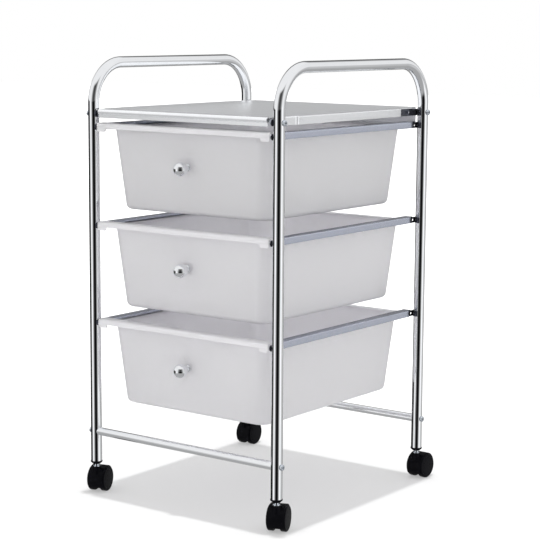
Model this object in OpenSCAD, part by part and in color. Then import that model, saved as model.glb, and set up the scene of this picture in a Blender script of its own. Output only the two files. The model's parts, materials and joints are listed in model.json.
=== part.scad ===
// Rolling cart: two bent side tubes, a sheet shelf, three sliding drawers and four swivel casters.
// X runs from left to right, Y from the drawer fronts to the back, Z up.
// The origin is on the floor, midway between the four legs.

/* [Overall] */
// Height of the top of the side tubes above the floor
overall_h = 660; // [600:1:760]
// Distance between the left and right leg centres
leg_span_x = 341; // [300:1:420]
// Distance between the front and back leg centres
leg_span_y = 371; // [340:1:440]

/* [Side tubes] */
// Outer diameter of the side tubes
tube_d = 16.5; // [15.5:0.1:18]
// Wall thickness of the side tubes
tube_wall = 1.2; // [1:0.1:1.6]
// Centre line radius of the two upper bends
bend_r = 60; // [40:1:66]
// Height of the open lower ends of the legs above the floor
leg_end_z = 50; // [47:0.5:60]

/* [Lower rails] */
// Outer diameter of the lower front and back rails
rail_d = 12; // [10:0.1:14]
// Wall thickness of the lower rails
rail_wall = 1; // [0.8:0.1:1.4]
// Height of the lower rails' centre lines above the floor
rail_z = 96.3; // [85:0.1:110]
// Length of the threaded plug inside each rail end
plug_len = 22; // [16:0.5:34]

/* [Shelf] */
// Distance from the top of the side tubes down to the shelf's top face
shelf_drop = 75.4; // [70:0.1:80]
// Sheet thickness of the shelf and the runners
sheet_t = 1.2; // [0.8:0.1:1.5]
// Depth of the shelf's side and back skirts
skirt_h = 12.4; // [11:0.1:13]
// How far the side skirts stand outside their end lugs
skirt_step = 2.8; // [1.5:0.1:4]
// How far the straight part of each side skirt stops short of the leg centres
skirt_end_in = 54.5; // [42:0.5:75]
// How far the front bead stands ahead of the front leg centres
bead_reach = 8.5; // [5:0.1:12]
// Diameter of the rolled front bead
bead_d = 8; // [5:0.1:10]
// How far the ends of the bead and the back skirt stop short of the leg centres
bead_end_in = 15.5; // [14.5:0.5:50]
// How far the apron below the bead stands behind the bead's front
apron_set_back = 2.8; // [1:0.1:3.5]
// How far the apron hangs below the side skirts
apron_drop = 0.6; // [0:0.1:2]
// Gap between the legs and the notches in the shelf's corners
notch_gap = 2; // [1:0.1:4]
// How far the back skirt stands behind the back leg centres
back_reach = 4.5; // [1:0.1:9]
// Height of the shelf's end lugs
shelf_lug_h = 10; // [9:0.1:11]
// Distance of the spare hole in each shelf lug from the leg centre
shelf_hole_in = 26.5; // [22:0.1:30]
// Diameter of the small holes in the shelf's side skirts
skirt_hole_d = 2.2; // [1:0.1:4]
// Distance of the front hole in each side skirt from the front leg centre
front_hole_in = 59.5; // [57.5:0.5:110]
// Distance of the back hole in each side skirt from the back leg centre
back_hole_in = 84.5; // [79:0.5:125]

/* [Runners] */
// Distance from the shelf's top face down to the top runners' upper face
runner_drop = 21.6; // [20:0.1:24]
// Height of a runner
runner_h = 10; // [9:0.1:11]
// Width of a runner's upper flange
runner_top_w = 16; // [13:0.1:17]
// Height of the turned-down edge of the upper flange, sheet included
runner_lip_h = 3.2; // [2:0.1:3.6]
// Width of a runner's lower flange
runner_foot_w = 12; // [9:0.1:14]
// How far the runner's web stands outside its end lugs
runner_step = 2; // [1:0.1:3]
// Length of the slope between a lug and the skirt or web beside it
ramp_len = 6; // [4:0.1:8]
// Length of a runner's upper flange beyond each slope
runner_land = 4; // [2:0.1:8]
// Gap between a runner's flanges and the leg centres
runner_end_gap = 11; // [9.6:0.1:16]
// Height of a runner's end lugs
lug_h = 9; // [8:0.1:9]
// How far an end lug's middle line reaches past the leg centre
lug_reach = 2.5; // [1:0.1:4]
// Diameter of the hole in each end lug
lug_hole_d = 4; // [2:0.1:5]
// Distance of the lug hole from the leg centre
lug_hole_in = 9.5; // [8:0.1:10]
// Angle that each lug's saddle wraps round the leg
saddle_angle = 105; // [60:1:110]

/* [Screws and rivets] */
// Thread diameter of the screws that pass through the legs
screw_d = 5; // [4:0.1:5.5]
// Diameter of the screw heads
screw_head_d = 8.6; // [7.5:0.1:9.5]
// Height of the screw heads
screw_head_h = 3; // [2.4:0.1:3.5]
// Width of the slots of the screws' cross recess
recess_w = 1.3; // [0.8:0.1:1.6]
// Depth of the screws' cross recess
recess_depth = 1.7; // [1:0.1:2]
// How far a rail screw stops short of its plug's end
screw_end_gap = 6; // [2:0.1:9]
// How far a shelf screw stands out of its nut
screw_past_nut = 1.5; // [0.5:0.1:3]
// Width across the flats of the shelf nuts
nut_w = 8; // [7:0.1:9]
// Thickness of the shelf nuts
nut_t = 4; // [2.5:0.1:4.5]
// Shank diameter of the rivets
rivet_d = 4; // [3:0.1:4.5]
// Diameter of the rivet heads
rivet_head_d = 7; // [5.5:0.1:8]
// Height of the rivet heads
rivet_head_h = 1.1; // [0.8:0.1:1.3]
// Diameter of the rivet's bulged tail inside the tube
rivet_tail_d = 5.4; // [4.9:0.1:6.5]
// Length of the rivet's bulged tail
rivet_tail_t = 2; // [1:0.1:3]
// Clearance between a rivet's tail and the tube's inner wall
rivet_tail_gap = 0.3; // [0.2:0.05:0.5]
// Radial clearance of a screw or rivet in its hole
hole_gap = 0.15; // [0.05:0.01:0.25]
// Radial clearance of pieces that are pressed or threaded together
fit_gap = 0.05; // [0.02:0.01:0.08]

/* [Drawers] */
// Gap on each side between a drawer's rim and the runner lugs
rim_side_gap = 2.2; // [1.6:0.1:4]
// Height of a drawer's front rim above its runners
rim_rise = 1; // [0.5:0.1:2]
// How far a closed drawer's front stands ahead of the front leg centres
front_reach = 6.5; // [2:0.1:10]
// How far a closed drawer's rim stops short of the back leg centres
rim_end_in = 0.5; // [-1.5:0.5:37]
// Width of the rim outside the bin's walls
rim_overhang = 14; // [13.6:0.1:15]
// Thickness of the rim's side and back flange
rim_t = 3.2; // [2.5:0.1:4]
// Radius of the rim's two back corners
rim_corner_r = 12; // [6:0.5:16]
// Height of the bar along the drawer's front
bar_h = 8; // [7:0.1:9]
// Wall thickness of the front bar
bar_t = 2.5; // [2:0.1:3.5]
// Wall thickness of the bin
bin_wall = 2; // [1.6:0.1:3]
// Width of the rounded tabs at both ends of the front bar
tab_w = 16; // [12:0.1:22]
// How far the tabs hang below the front bar
tab_drop = 5; // [3:0.1:7]
// Gap between a drawer's underside and the front rim of the drawer below it
drawer_gap = 19; // [12:0.5:36]
// Height of the bottom drawer's underside above the lower rails
rail_clear = 41.2; // [10:0.1:60]
// How much the bin's base is drawn in on every side
bin_taper = 11.3; // [6:0.1:14]
// Radius of the bin's upright corners
corner_r = 20; // [14:0.5:28]
// Radius of the edge round the bin's base
base_r = 7; // [3:0.5:9]
// Clearance between a drawer's rim and the runner that it rests on
slide_gap = 0.2; // [0.1:0.05:0.4]

/* [Knobs] */
// Diameter of the knob's ball
knob_d = 20; // [16:0.5:24]
// Diameter of the knob's neck
knob_neck_d = 8; // [6.5:0.1:10]
// Diameter of the knob's base
knob_base_d = 13; // [10:0.1:16]
// Thickness of the knob's base
knob_base_t = 2.4; // [1.5:0.1:4]
// How much narrower the knob's base is at its neck side
knob_base_narrows = 1.5; // [0:0.1:2.5]
// Distance from the drawer's front wall to the middle of the ball
knob_reach = 19; // [15:0.5:24]
// Distance from the top of the drawer's front to the knob
knob_drop = 58; // [45:1:75]
// Thread diameter of the knob screw
knob_screw_d = 4; // [3:0.1:4.5]
// Diameter of the knob screw's head
knob_head_d = 8; // [6.5:0.1:10]
// Height of the knob screw's head
knob_head_h = 2.6; // [2.4:0.1:3.5]
// How deep the knob's bore reaches into the ball
bore_in_ball = 1; // [0:0.1:4]
// How far the knob screw stops short of the bore's end
bore_spare = 1; // [0.5:0.1:3]

/* [Casters] */
// Diameter of the caster wheels
wheel_d = 38; // [34:0.5:39]
// Width of one wheel
wheel_w = 9; // [7:0.1:11]
// Thickness of a wheel's outer ring
tread_t = 3.5; // [2.5:0.1:5]
// Rounding of the inner edge of a wheel's tread
tread_round = 1.6; // [0.8:0.1:2.4]
// Depth of the hollow in a wheel's inner face
wheel_hollow = 2; // [1:0.1:3]
// Wall thickness of a wheel's hub
hub_wall = 2.5; // [1.5:0.1:4]
// Thickness of a wheel's outer face over the axle's end
cap_t = 1.3; // [1:0.1:2]
// How far the middle of a wheel's outer face stands out
cap_dome = 0.4; // [0.2:0.1:1]
// Distance of the shallow ring in a wheel's outer face from the tread
ring_inset = 4.8; // [4.8:0.1:8]
// Depth of the shallow ring in a wheel's outer face
ring_depth = 0.4; // [0.2:0.1:0.8]
// Distance between the two wheels of a caster
wheel_space = 10.4; // [10:0.1:12]
// Clearance between a wheel and the hood that covers it
hood_gap = 0.4; // [0.3:0.05:0.6]
// Wall thickness of the hood
hood_wall = 1.2; // [1:0.1:1.3]
// Width of the hood
hood_w = 24.4; // [18:0.1:26]
// Rounding of the hood's outer edges
hood_round = 1; // [0.4:0.1:1.2]
// Height of the hood's lower edge above the floor
hood_edge_z = 7.5; // [5:0.1:12]
// Distance from the swivel axis back to the axle
trail = 12.5; // [11:0.1:14]
// Diameter of the upright boss that holds the stem
boss_d = 12.4; // [11:0.1:14]
// Height of the boss above the floor
boss_z = 40.6; // [40.2:0.1:42]
// Diameter of the caster's stem
stem_d = 7; // [6:0.1:7.4]
// Height of the bottom of the boss's bore above the floor
stem_bore_z = 15; // [13:0.1:17]
// Gap between the stem's lower end and the bottom of its bore
stem_end_gap = 1; // [0.5:0.1:3]
// Diameter of the collar on the stem
collar_d = 10.5; // [9:0.1:12]
// Thickness of the collar on the stem
collar_t = 1.2; // [0.8:0.1:1.6]
// Length of the stem inside the leg
stem_in_leg = 20; // [14:0.5:24]
// Diameter of the axle
axle_d = 5; // [4:0.1:6]
// Gap between the axle's ends and the bottoms of the wheels' bores
axle_end_gap = 0.3; // [0.3:0.1:1]
// Radial clearance of a turning wheel or stem
turn_gap = 0.06; // [0.03:0.01:0.1]
// Diameter of the flange of each leg's plug
socket_flange_d = 17.8; // [17:0.1:20]
// Thickness of the flange of each leg's plug
socket_flange_t = 2.2; // [1.5:0.1:2.6]
// Depth of the tapered underside of each leg's plug
socket_cone_h = 2.8; // [1.5:0.1:3]
// Diameter of the lower end of the plug's tapered underside
socket_tip_d = 11.5; // [11:0.1:14]
// Width of the step between the plug's flange and its tapered underside
socket_step = 0.5; // [0:0.1:1]
// How far each leg's plug reaches past the stem's upper end
socket_spare = 3; // [1:0.1:6]
// Swivel angle of the front left caster, seen from above
swivel_front_left = 18; // [-180:1:180]
// Swivel angle of the front right caster, seen from above
swivel_front_right = 21; // [-180:1:180]
// Swivel angle of the back left caster, seen from above
swivel_back_left = 4; // [-180:1:180]
// Swivel angle of the back right caster, seen from above
swivel_back_right = -1; // [-180:1:180]

/* [Hidden] */
$fn = 64;
SIDES = [-1, 1];
LEVELS = ["top", "middle", "bottom"];
CORNERS = ["front_left", "front_right", "back_left", "back_right"];
SWIVELS = [swivel_front_left, swivel_front_right, swivel_back_left, swivel_back_right];

// Colours
chrome = "#c9ccd2";
sheet_metal = "#d2d4da";
zinc = "#b9bcc0";
frosted = "#e4e6ea";
black_nylon = "#26272a";
black_rubber = "#1d1e20";

// Smallest overlap that joins two shapes or clears a cut
eps = 0.02;

// Legs
leg_x = leg_span_x / 2;
leg_y = leg_span_y / 2;
tube_r = tube_d / 2;
tube_axis_z = overall_h - tube_r;
shelf_z = overall_h - shelf_drop;
top_runner_z = shelf_z - runner_drop;
// The three drawers share the height between the top runners and the lower rails
pitch = (top_runner_z + rim_rise + drawer_gap - rail_z - rail_d / 2 - rail_clear) / 3;
bin_h = pitch - drawer_gap;

// Lugs and saddles that meet the legs
lug_x = leg_x - tube_r - fit_gap;
lug_in_x = lug_x - sheet_t;
saddle_r = tube_r + fit_gap;

// Shelf
shelf_half = lug_x + skirt_step;
skirt_half_len = leg_y - skirt_end_in;
bead_half = leg_x - bead_end_in;
ramp_end = skirt_half_len + ramp_len;
bead_y = -leg_y - bead_reach + bead_d / 2;
apron_y = -leg_y - bead_reach + apron_set_back;
shelf_back_y = leg_y + back_reach;
shelf_notch_y = leg_y - tube_r - notch_gap;
shelf_screw_z = shelf_z - skirt_h + shelf_lug_h / 2;

// Runners
web_x = lug_x + runner_step;
runner_end_y = leg_y - runner_end_gap;
web_end_y = runner_end_y - runner_land - ramp_len;
lug_offset = runner_h - lug_h / 2;

// Screws
rail_screw_len = tube_d + plug_len - screw_end_gap;
shelf_screw_len = tube_d + fit_gap + sheet_t + nut_t + screw_past_nut;
// Share of a head's diameter that its flat top and its recess take
head_top_share = 0.62;
recess_share = 0.54;

// Drawers
rim_half = lug_in_x - rim_side_gap;
front_y = -leg_y - front_reach;
rim_back_y = leg_y - rim_end_in;
wall_half = rim_half - rim_overhang;
wall_front_y = front_y + rim_overhang;
wall_back_y = rim_back_y - rim_overhang;
flange_top_off = runner_h - sheet_t - slide_gap - rim_t;
wall_h = bin_h - rim_rise - flange_top_off;
draft = atan(bin_taper / wall_h);

// Knobs
knob_inset = bin_taper * (knob_drop - rim_rise - flange_top_off) / wall_h;
knob_y = wall_front_y + knob_inset;
knob_bore = knob_reach - knob_d / 2 + bore_in_ball;

// Casters
wheel_r = wheel_d / 2;
hood_r = wheel_r + hood_gap + hood_wall;
web_half = wheel_space / 2 - hood_gap;
axle_half = wheel_space / 2 + wheel_w - cap_t - axle_end_gap;
socket_len = stem_in_leg + socket_spare;

function runner_top(level) = top_runner_z - pitch * level;
function rim_top(level) = runner_top(level) + rim_rise;
function corner_x(i) = i % 2 == 0 ? -leg_x : leg_x;
function corner_y(i) = i < 2 ? -leg_y : leg_y;

// Puts a flat shape drawn in Y and Z upright, with its near face at x
module upright(x, thick) {
    translate([x, 0, 0]) rotate([90, 0, 90]) linear_extrude(thick) children();
}

// Copies a right-hand shape to either side
module side(s) {
    if (s > 0) children();
    else mirror([1, 0, 0]) children();
}

// Rod along X from x0 to x1
module rod_x(x0, x1, y, z, d) {
    translate([x0, y, z]) rotate([0, 90, 0]) cylinder(h = x1 - x0, d = d);
}

// The path of one side tube, filled to the given radius
module u_shape(r, low_z) {
    for (s = SIDES) {
        translate([0, s * leg_y, low_z]) cylinder(h = tube_axis_z - bend_r - low_z, r = r);
        translate([0, s * (leg_y - bend_r), tube_axis_z - bend_r])
            rotate([90, 0, 90]) rotate([0, 0, s > 0 ? 0 : 90])
                rotate_extrude(angle = 90) translate([bend_r, 0]) circle(r = r);
    }
    translate([0, -leg_y + bend_r, tube_axis_z])
        rotate([-90, 0, 0]) cylinder(h = leg_span_y - 2 * bend_r, r = r);
}

module side_tube(s) {
    color(chrome) side(s) difference() {
        translate([leg_x, 0, 0]) u_shape(tube_r, leg_end_z);
        translate([leg_x, 0, 0]) u_shape(tube_r - tube_wall, leg_end_z - 1);
        for (t = SIDES) {
            for (z = [shelf_screw_z, rail_z])
                rod_x(leg_x - tube_d, leg_x + tube_d, t * leg_y, z, screw_d + 2 * hole_gap);
            for (level = [0 : 2])
                rod_x(leg_x - tube_d, leg_x, t * leg_y, runner_top(level) - lug_offset,
                    rivet_d + 2 * hole_gap);
        }
    }
}

// Black plug with a flange, pressed into each leg's lower end
module leg_plugs() {
    color(black_nylon) for (x = [-leg_x, leg_x], y = [-leg_y, leg_y])
        translate([x, y, leg_end_z]) difference() {
            union() {
                cylinder(h = socket_len, r = tube_r - tube_wall - fit_gap);
                translate([0, 0, -socket_flange_t]) cylinder(h = socket_flange_t, d = socket_flange_d);
                translate([0, 0, -socket_flange_t - socket_cone_h])
                    cylinder(h = socket_cone_h, d1 = socket_tip_d, d2 = socket_flange_d - 2 * socket_step);
            }
            translate([0, 0, -socket_flange_t - socket_cone_h - 1])
                cylinder(h = socket_len + socket_flange_t + socket_cone_h + 2, d = stem_d + 2 * fit_gap);
        }
}

// Outline of a lug in Y and Z, square where it starts and round where it ends
module lug_outline(start_y, end_y, z, height) {
    translate([start_y, z - height / 2]) square([end_y - start_y, height]);
    translate([end_y, z]) circle(d = height);
}

// Curved saddle that hugs the leg from its inner side towards the cart's middle
module saddle(z, height) {
    translate([leg_x, leg_y, z - height / 2])
        rotate([0, 0, 180]) rotate_extrude(angle = saddle_angle)
            translate([saddle_r, 0]) square([sheet_t, height]);
}

// One shelf corner on the right at the back: the lug and its saddle
module shelf_corner() {
    difference() {
        union() {
            upright(lug_in_x, sheet_t)
                lug_outline(ramp_end - eps, leg_y + lug_reach, shelf_screw_z, shelf_lug_h);
            saddle(shelf_screw_z, shelf_lug_h);
        }
        rod_x(lug_in_x - 1, lug_x + 1, leg_y, shelf_screw_z, screw_d + 2 * hole_gap);
        rod_x(lug_in_x - 1, lug_x + 1, leg_y - shelf_hole_in, shelf_screw_z, lug_hole_d);
    }
}

// Half of the shelf's outline seen from above, front to back
shelf_outline = [
    [-eps, bead_y],
    [bead_half, bead_y], [bead_half, -shelf_notch_y],
    [lug_x, -shelf_notch_y + ramp_len], [lug_x, -ramp_end],
    [shelf_half, -skirt_half_len], [shelf_half, skirt_half_len],
    [lug_x, ramp_end], [lug_x, shelf_notch_y - ramp_len],
    [bead_half, shelf_notch_y], [bead_half, shelf_back_y],
    [-eps, shelf_back_y]
];

// A skirt's or web's strip of sheet seen from above, with its two sloped ends
function stepped_strip(outer_x, half) = [
    [lug_x, -half - ramp_len], [outer_x, -half], [outer_x, half], [lug_x, half + ramp_len],
    [lug_in_x, half + ramp_len], [outer_x - sheet_t, half],
    [outer_x - sheet_t, -half], [lug_in_x, -half - ramp_len]
];

module top_shelf() {
    color(sheet_metal) difference() {
        union() {
            for (s = SIDES) side(s) {
                translate([0, 0, shelf_z - sheet_t]) linear_extrude(sheet_t) polygon(shelf_outline);
                translate([0, 0, shelf_z - skirt_h]) linear_extrude(skirt_h)
                    polygon(stepped_strip(shelf_half, skirt_half_len));
                for (t = [0, 1]) mirror([0, t, 0]) shelf_corner();
            }
            rod_x(-bead_half, bead_half, bead_y, shelf_z - bead_d / 2, bead_d);
            translate([-bead_half, apron_y, shelf_z - skirt_h - apron_drop])
                cube([2 * bead_half, sheet_t, skirt_h + apron_drop - bead_d / 2]);
            translate([-bead_half, shelf_back_y - sheet_t, shelf_z - skirt_h])
                cube([2 * bead_half, sheet_t, skirt_h]);
        }
        rod_x(-bead_half - 1, bead_half + 1, bead_y, shelf_z - bead_d / 2, bead_d - 2 * sheet_t);
        for (s = SIDES, y = [front_hole_in - leg_y, leg_y - back_hole_in]) side(s)
            rod_x(shelf_half - 2 * sheet_t, shelf_half + 1, y, shelf_z - skirt_h / 2, skirt_hole_d);
    }
}

// Pan head screw along X with its head at the right, its seat at x = 0
module cross_screw(len, d, head_d, head_h) {
    difference() {
        union() {
            rotate([0, -90, 0]) cylinder(h = len, d = d);
            rotate([0, 90, 0]) cylinder(h = head_h * 0.5, d = head_d);
            translate([head_h * 0.5 - eps, 0, 0])
                rotate([0, 90, 0]) cylinder(h = head_h * 0.5, d1 = head_d, d2 = head_d * head_top_share);
        }
        for (a = [0, 90]) rotate([a, 0, 0])
            translate([head_h - recess_depth, -recess_w / 2, -head_d * recess_share / 2])
                cube([recess_depth + 1, recess_w, head_d * recess_share]);
    }
}

module leg_screws(z, len) {
    color(zinc) for (s = SIDES, y = [-leg_y, leg_y]) side(s)
        translate([leg_x + tube_r, y, z]) cross_screw(len, screw_d, screw_head_d, screw_head_h);
}

module shelf_screws() {
    leg_screws(shelf_screw_z, shelf_screw_len);
}

module rail_screws() {
    leg_screws(rail_z, rail_screw_len);
}

module shelf_nuts() {
    color(zinc) for (s = SIDES, y = [-leg_y, leg_y]) side(s) difference() {
        translate([lug_in_x - nut_t, y, shelf_screw_z]) rotate([0, 90, 0])
            cylinder(h = nut_t, r = nut_w / 2 / cos(30), $fn = 6);
        rod_x(lug_in_x - nut_t - 1, lug_in_x + 1, y, shelf_screw_z, screw_d + 2 * fit_gap);
    }
}

// Room that the two legs at y take out of a rail or a plug
module leg_cope(y) {
    for (s = SIDES) translate([s * leg_x, y, rail_z - rail_d]) cylinder(h = 2 * rail_d, r = saddle_r);
}

module lower_rail(y) {
    color(chrome) difference() {
        rod_x(-leg_x, leg_x, y, rail_z, rail_d);
        rod_x(-leg_x - 1, leg_x + 1, y, rail_z, rail_d - 2 * rail_wall);
        leg_cope(y);
    }
}

module rail_plugs() {
    color(zinc) for (s = SIDES, y = [-leg_y, leg_y]) difference() {
        side(s) rod_x(lug_x - plug_len, leg_x, y, rail_z, rail_d - 2 * rail_wall - 2 * fit_gap);
        side(s) rod_x(lug_x - plug_len - 1, leg_x + 1, y, rail_z, screw_d + 2 * fit_gap);
        leg_cope(y);
    }
}

// Channel that opens inwards, with a lug at each end that lies against its leg
module runner(s, level) {
    top = runner_top(level);
    lug_z = top - lug_offset;
    color(sheet_metal) side(s) {
        translate([0, 0, top - runner_h]) linear_extrude(runner_h)
            polygon(stepped_strip(web_x, web_end_y));
        translate([0, 0, top - sheet_t]) linear_extrude(sheet_t) polygon([
            [web_x - runner_top_w, -runner_end_y], [lug_x, -runner_end_y], [lug_x, -web_end_y - ramp_len],
            [web_x, -web_end_y], [web_x, web_end_y],
            [lug_x, web_end_y + ramp_len], [lug_x, runner_end_y], [web_x - runner_top_w, runner_end_y]]);
        translate([web_x - runner_top_w, -runner_end_y, top - runner_lip_h])
            cube([sheet_t, 2 * runner_end_y, runner_lip_h]);
        translate([web_x - runner_foot_w, -web_end_y, top - runner_h])
            cube([runner_foot_w - sheet_t + eps, 2 * web_end_y, sheet_t]);
        for (t = [0, 1]) mirror([0, t, 0]) difference() {
            union() {
                upright(lug_in_x, sheet_t)
                    lug_outline(web_end_y + ramp_len - eps, leg_y + lug_reach, lug_z, lug_h);
                saddle(lug_z, lug_h);
            }
            rod_x(lug_in_x - 1, lug_x + 1, leg_y - lug_hole_in, lug_z, lug_hole_d);
            rod_x(lug_in_x - 1, lug_x + 1, leg_y, lug_z, rivet_d + 2 * hole_gap);
        }
    }
}

// Blind rivets that hold the runner lugs to the legs
module runner_rivets() {
    tail_x = leg_x - sqrt(pow(tube_r - tube_wall, 2) - pow(rivet_tail_d / 2, 2));
    color(zinc) for (s = SIDES, y = [-leg_y, leg_y], level = [0 : 2]) side(s)
        translate([0, y, runner_top(level) - lug_offset]) {
            translate([lug_in_x, 0, 0]) rotate([0, 90, 0]) cylinder(h = tail_x - lug_in_x + 1, d = rivet_d);
            translate([lug_in_x - rivet_head_h, 0, 0]) rotate([0, 90, 0])
                cylinder(h = rivet_head_h, d1 = rivet_head_d * head_top_share, d2 = rivet_head_d);
            translate([tail_x + rivet_tail_gap, 0, 0]) rotate([0, 90, 0])
                cylinder(h = rivet_tail_t, d = rivet_tail_d);
        }
}

// Rounded, tapered block of the bin's shape, drawn in by shrink on every side
module bin_block(z_low, z_high, shrink, edge_r) {
    height = z_high - z_low;
    hull() for (a = [0, 30, 60, 90, 180]) {
        up = a > 90 ? height - eps : edge_r * (1 - cos(a));
        extra = a > 90 ? 0 : edge_r * (1 - sin(a));
        draw_in = bin_taper * (height - up) / wall_h + extra + shrink;
        r = corner_r - extra - shrink;
        for (sx = SIDES, y = [wall_front_y + draw_in + r, wall_back_y - draw_in - r])
            translate([sx * (wall_half - draw_in - r), y, z_low + up])
                cylinder(h = eps, r = r, $fn = 32);
    }
}

// Flange round the sides and the back of the bin, which rides in the runners
module rim_flange(z) {
    r = rim_corner_r;
    translate([-rim_half, wall_front_y - bar_t, z])
        cube([2 * rim_half, rim_back_y - wall_front_y + bar_t - r, rim_t]);
    translate([-rim_half + r, rim_back_y - r - eps, z]) cube([2 * (rim_half - r), r + eps, rim_t]);
    for (s = SIDES) translate([s * (rim_half - r), rim_back_y - r, z]) cylinder(h = rim_t, r = r);
}

// Hollow bar along the drawer's front with a rounded tab at each end
module front_bar(top) {
    plate_len = rim_overhang + bar_t;
    translate([-rim_half, front_y, top - bar_t]) cube([2 * rim_half, plate_len, bar_t]);
    translate([-rim_half, front_y, top - bar_h]) cube([2 * rim_half, bar_t, bar_h]);
    translate([-wall_half + corner_r / 2, wall_front_y, top - rim_rise - flange_top_off - rim_t])
        cube([2 * wall_half - corner_r, bar_t, rim_rise + flange_top_off + rim_t]);
    for (s = SIDES) side(s) {
        translate([rim_half - bar_t, front_y, top - bar_h]) cube([bar_t, plate_len - fit_gap, bar_h]);
        translate([rim_half - tab_w + tab_drop, front_y, top - bar_h - tab_drop])
            cube([tab_w - 2 * tab_drop, bar_t, tab_drop + bar_t]);
        for (x = [rim_half - tab_w + tab_drop, rim_half - tab_drop])
            translate([x, front_y + bar_t, top - bar_h]) rotate([90, 0, 0]) cylinder(h = bar_t, r = tab_drop);
    }
}

// Local frame of a knob: its base sits on the sloping front wall and Z points away from it
module at_knob(level) {
    translate([0, knob_y, rim_top(level) - knob_drop]) rotate([90 + draft, 0, 0]) children();
}

module drawer(level) {
    top = rim_top(level);
    wall_top = top - rim_rise - flange_top_off;
    color(frosted) difference() {
        union() {
            bin_block(top - bin_h, wall_top, 0, base_r);
            rim_flange(wall_top - rim_t);
            front_bar(top);
        }
        bin_block(top - bin_h + bin_wall, wall_top + eps, bin_wall, base_r - bin_wall);
        at_knob(level) translate([0, 0, -3 * bin_wall])
            cylinder(h = 4 * bin_wall, d = knob_screw_d + 2 * hole_gap);
    }
}

module knob(level) {
    color(chrome) at_knob(level) difference() {
        union() {
            cylinder(h = knob_base_t, d1 = knob_base_d, d2 = knob_base_d - knob_base_narrows);
            cylinder(h = knob_reach, d = knob_neck_d);
            translate([0, 0, knob_reach]) sphere(d = knob_d);
        }
        translate([0, 0, -1]) cylinder(h = knob_bore + 1, d = knob_screw_d + 2 * fit_gap);
    }
}

// Screw from inside the bin into the knob
module knob_screw(level) {
    color(zinc) at_knob(level) rotate([0, 90, 0])
        translate([bin_wall + fit_gap, 0, 0])
            cross_screw(bin_wall + knob_bore - bore_spare, knob_screw_d, knob_head_d, knob_head_h);
}

// Turns a caster's own frame, with X along its axle, to its place under leg i
module at_caster(i) {
    translate([corner_x(i), corner_y(i), 0]) rotate([0, 0, SWIVELS[i]]) children();
}

// Stem with a collar, held by the leg's plug
module caster_stems() {
    color(zinc) for (i = [0 : 3]) at_caster(i) {
        translate([0, 0, stem_bore_z + stem_end_gap])
            cylinder(h = leg_end_z + stem_in_leg - stem_bore_z - stem_end_gap, d = stem_d);
        translate([0, 0, boss_z + turn_gap]) cylinder(h = collar_t, d = collar_d);
    }
}

// Solid of revolution round the axle, from a profile of points along it and their radii
module round_axle(profile) {
    translate([0, trail, wheel_r]) rotate([0, 90, 0]) rotate_extrude()
        polygon([for (p = profile) [p[1], p[0]]]);
}

// Points of an arc round the place ca along the axle and the radius cr
function arc_points(ca, cr, r, from, to) =
    [for (k = [0 : 4]) let (a = from + (to - from) * k / 4) [ca + r * cos(a), cr + r * sin(a)]];

module hood(i) {
    half = hood_w / 2;
    r = hood_round;
    color(black_nylon) at_caster(i) difference() {
        union() {
            round_axle(concat([[-half, 0]], arc_points(-half + r, hood_r - r, r, 180, 90),
                arc_points(half - r, hood_r - r, r, 90, 0), [[half, 0]]));
            translate([0, 0, wheel_r]) cylinder(h = boss_z - wheel_r, d = boss_d);
        }
        for (s = SIDES) translate([s * (web_half + hood_w), trail, wheel_r])
            rotate([0, 90, 0]) cylinder(h = 2 * hood_w, r = wheel_r + hood_gap, center = true);
        translate([-hood_w, trail - 2 * hood_r, hood_edge_z - wheel_d])
            cube([2 * hood_w, 4 * hood_r, wheel_d]);
        translate([0, 0, stem_bore_z]) cylinder(h = boss_z, d = stem_d + 2 * turn_gap);
        rod_x(-hood_w, hood_w, trail, wheel_r, axle_d + 2 * fit_gap);
    }
}

module axle(i) {
    color(zinc) at_caster(i) rod_x(-axle_half, axle_half, trail, wheel_r, axle_d);
}

// One wheel, on the side of the caster given by s
module wheel(i, s) {
    near = wheel_space / 2;
    far = near + wheel_w;
    deep = near + wheel_hollow;
    bore_r = axle_d / 2 + turn_gap;
    hub_r = axle_d / 2 + hub_wall;
    bore_end = axle_half + axle_end_gap;
    outer_r = 2 * tread_round;
    ring_r = wheel_r - ring_inset;
    color(black_rubber) at_caster(i) side(s) round_axle(concat(
        [[near, bore_r], [near, hub_r], [deep, hub_r], [deep, wheel_r - tread_t], [near, wheel_r - tread_t]],
        arc_points(near + tread_round, wheel_r - tread_round, tread_round, 180, 90),
        arc_points(far - outer_r, wheel_r - outer_r, outer_r, 90, 10),
        [[far, ring_r + ring_depth], [far - ring_depth, ring_r], [far, ring_r - ring_depth]],
        [[far + cap_dome, 0], [bore_end, 0], [bore_end, bore_r]]));
}

side_tube(-1);  // left_side_tube
side_tube(1);  // right_side_tube
leg_plugs();
top_shelf();
shelf_screws();
shelf_nuts();
lower_rail(-leg_y);  // front_lower_rail
lower_rail(leg_y);  // back_lower_rail
rail_plugs();
rail_screws();
for (k = [0 : 2]) {
    runner(-1, k);
    runner(1, k);
    drawer(k);
    knob(k);
    knob_screw(k);
}
runner_rivets();
caster_stems();
for (i = [0 : 3]) {
    hood(i);
    axle(i);
    wheel(i, i % 2 == 0 ? -1 : 1);
    wheel(i, i % 2 == 0 ? 1 : -1);
}
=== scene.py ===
"""Rolling drawer cart with bent chromed side tubes, a sheet shelf, frosted drawers and twin-wheel casters.

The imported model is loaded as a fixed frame. Every piece below takes its place from that frame, rides on one
of its bodies and stands for the node of its own name, so the mechanism stays as it was packed.
X runs from left to right, Y from the drawer fronts to the back, Z up, and the origin is on the floor.
"""

from __future__ import annotations

import json
import logging
import math
from dataclasses import dataclass
from enum import Enum
from typing import Any, Mapping, Sequence

import bmesh
import bpy
from mathutils import Matrix, Vector


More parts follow.
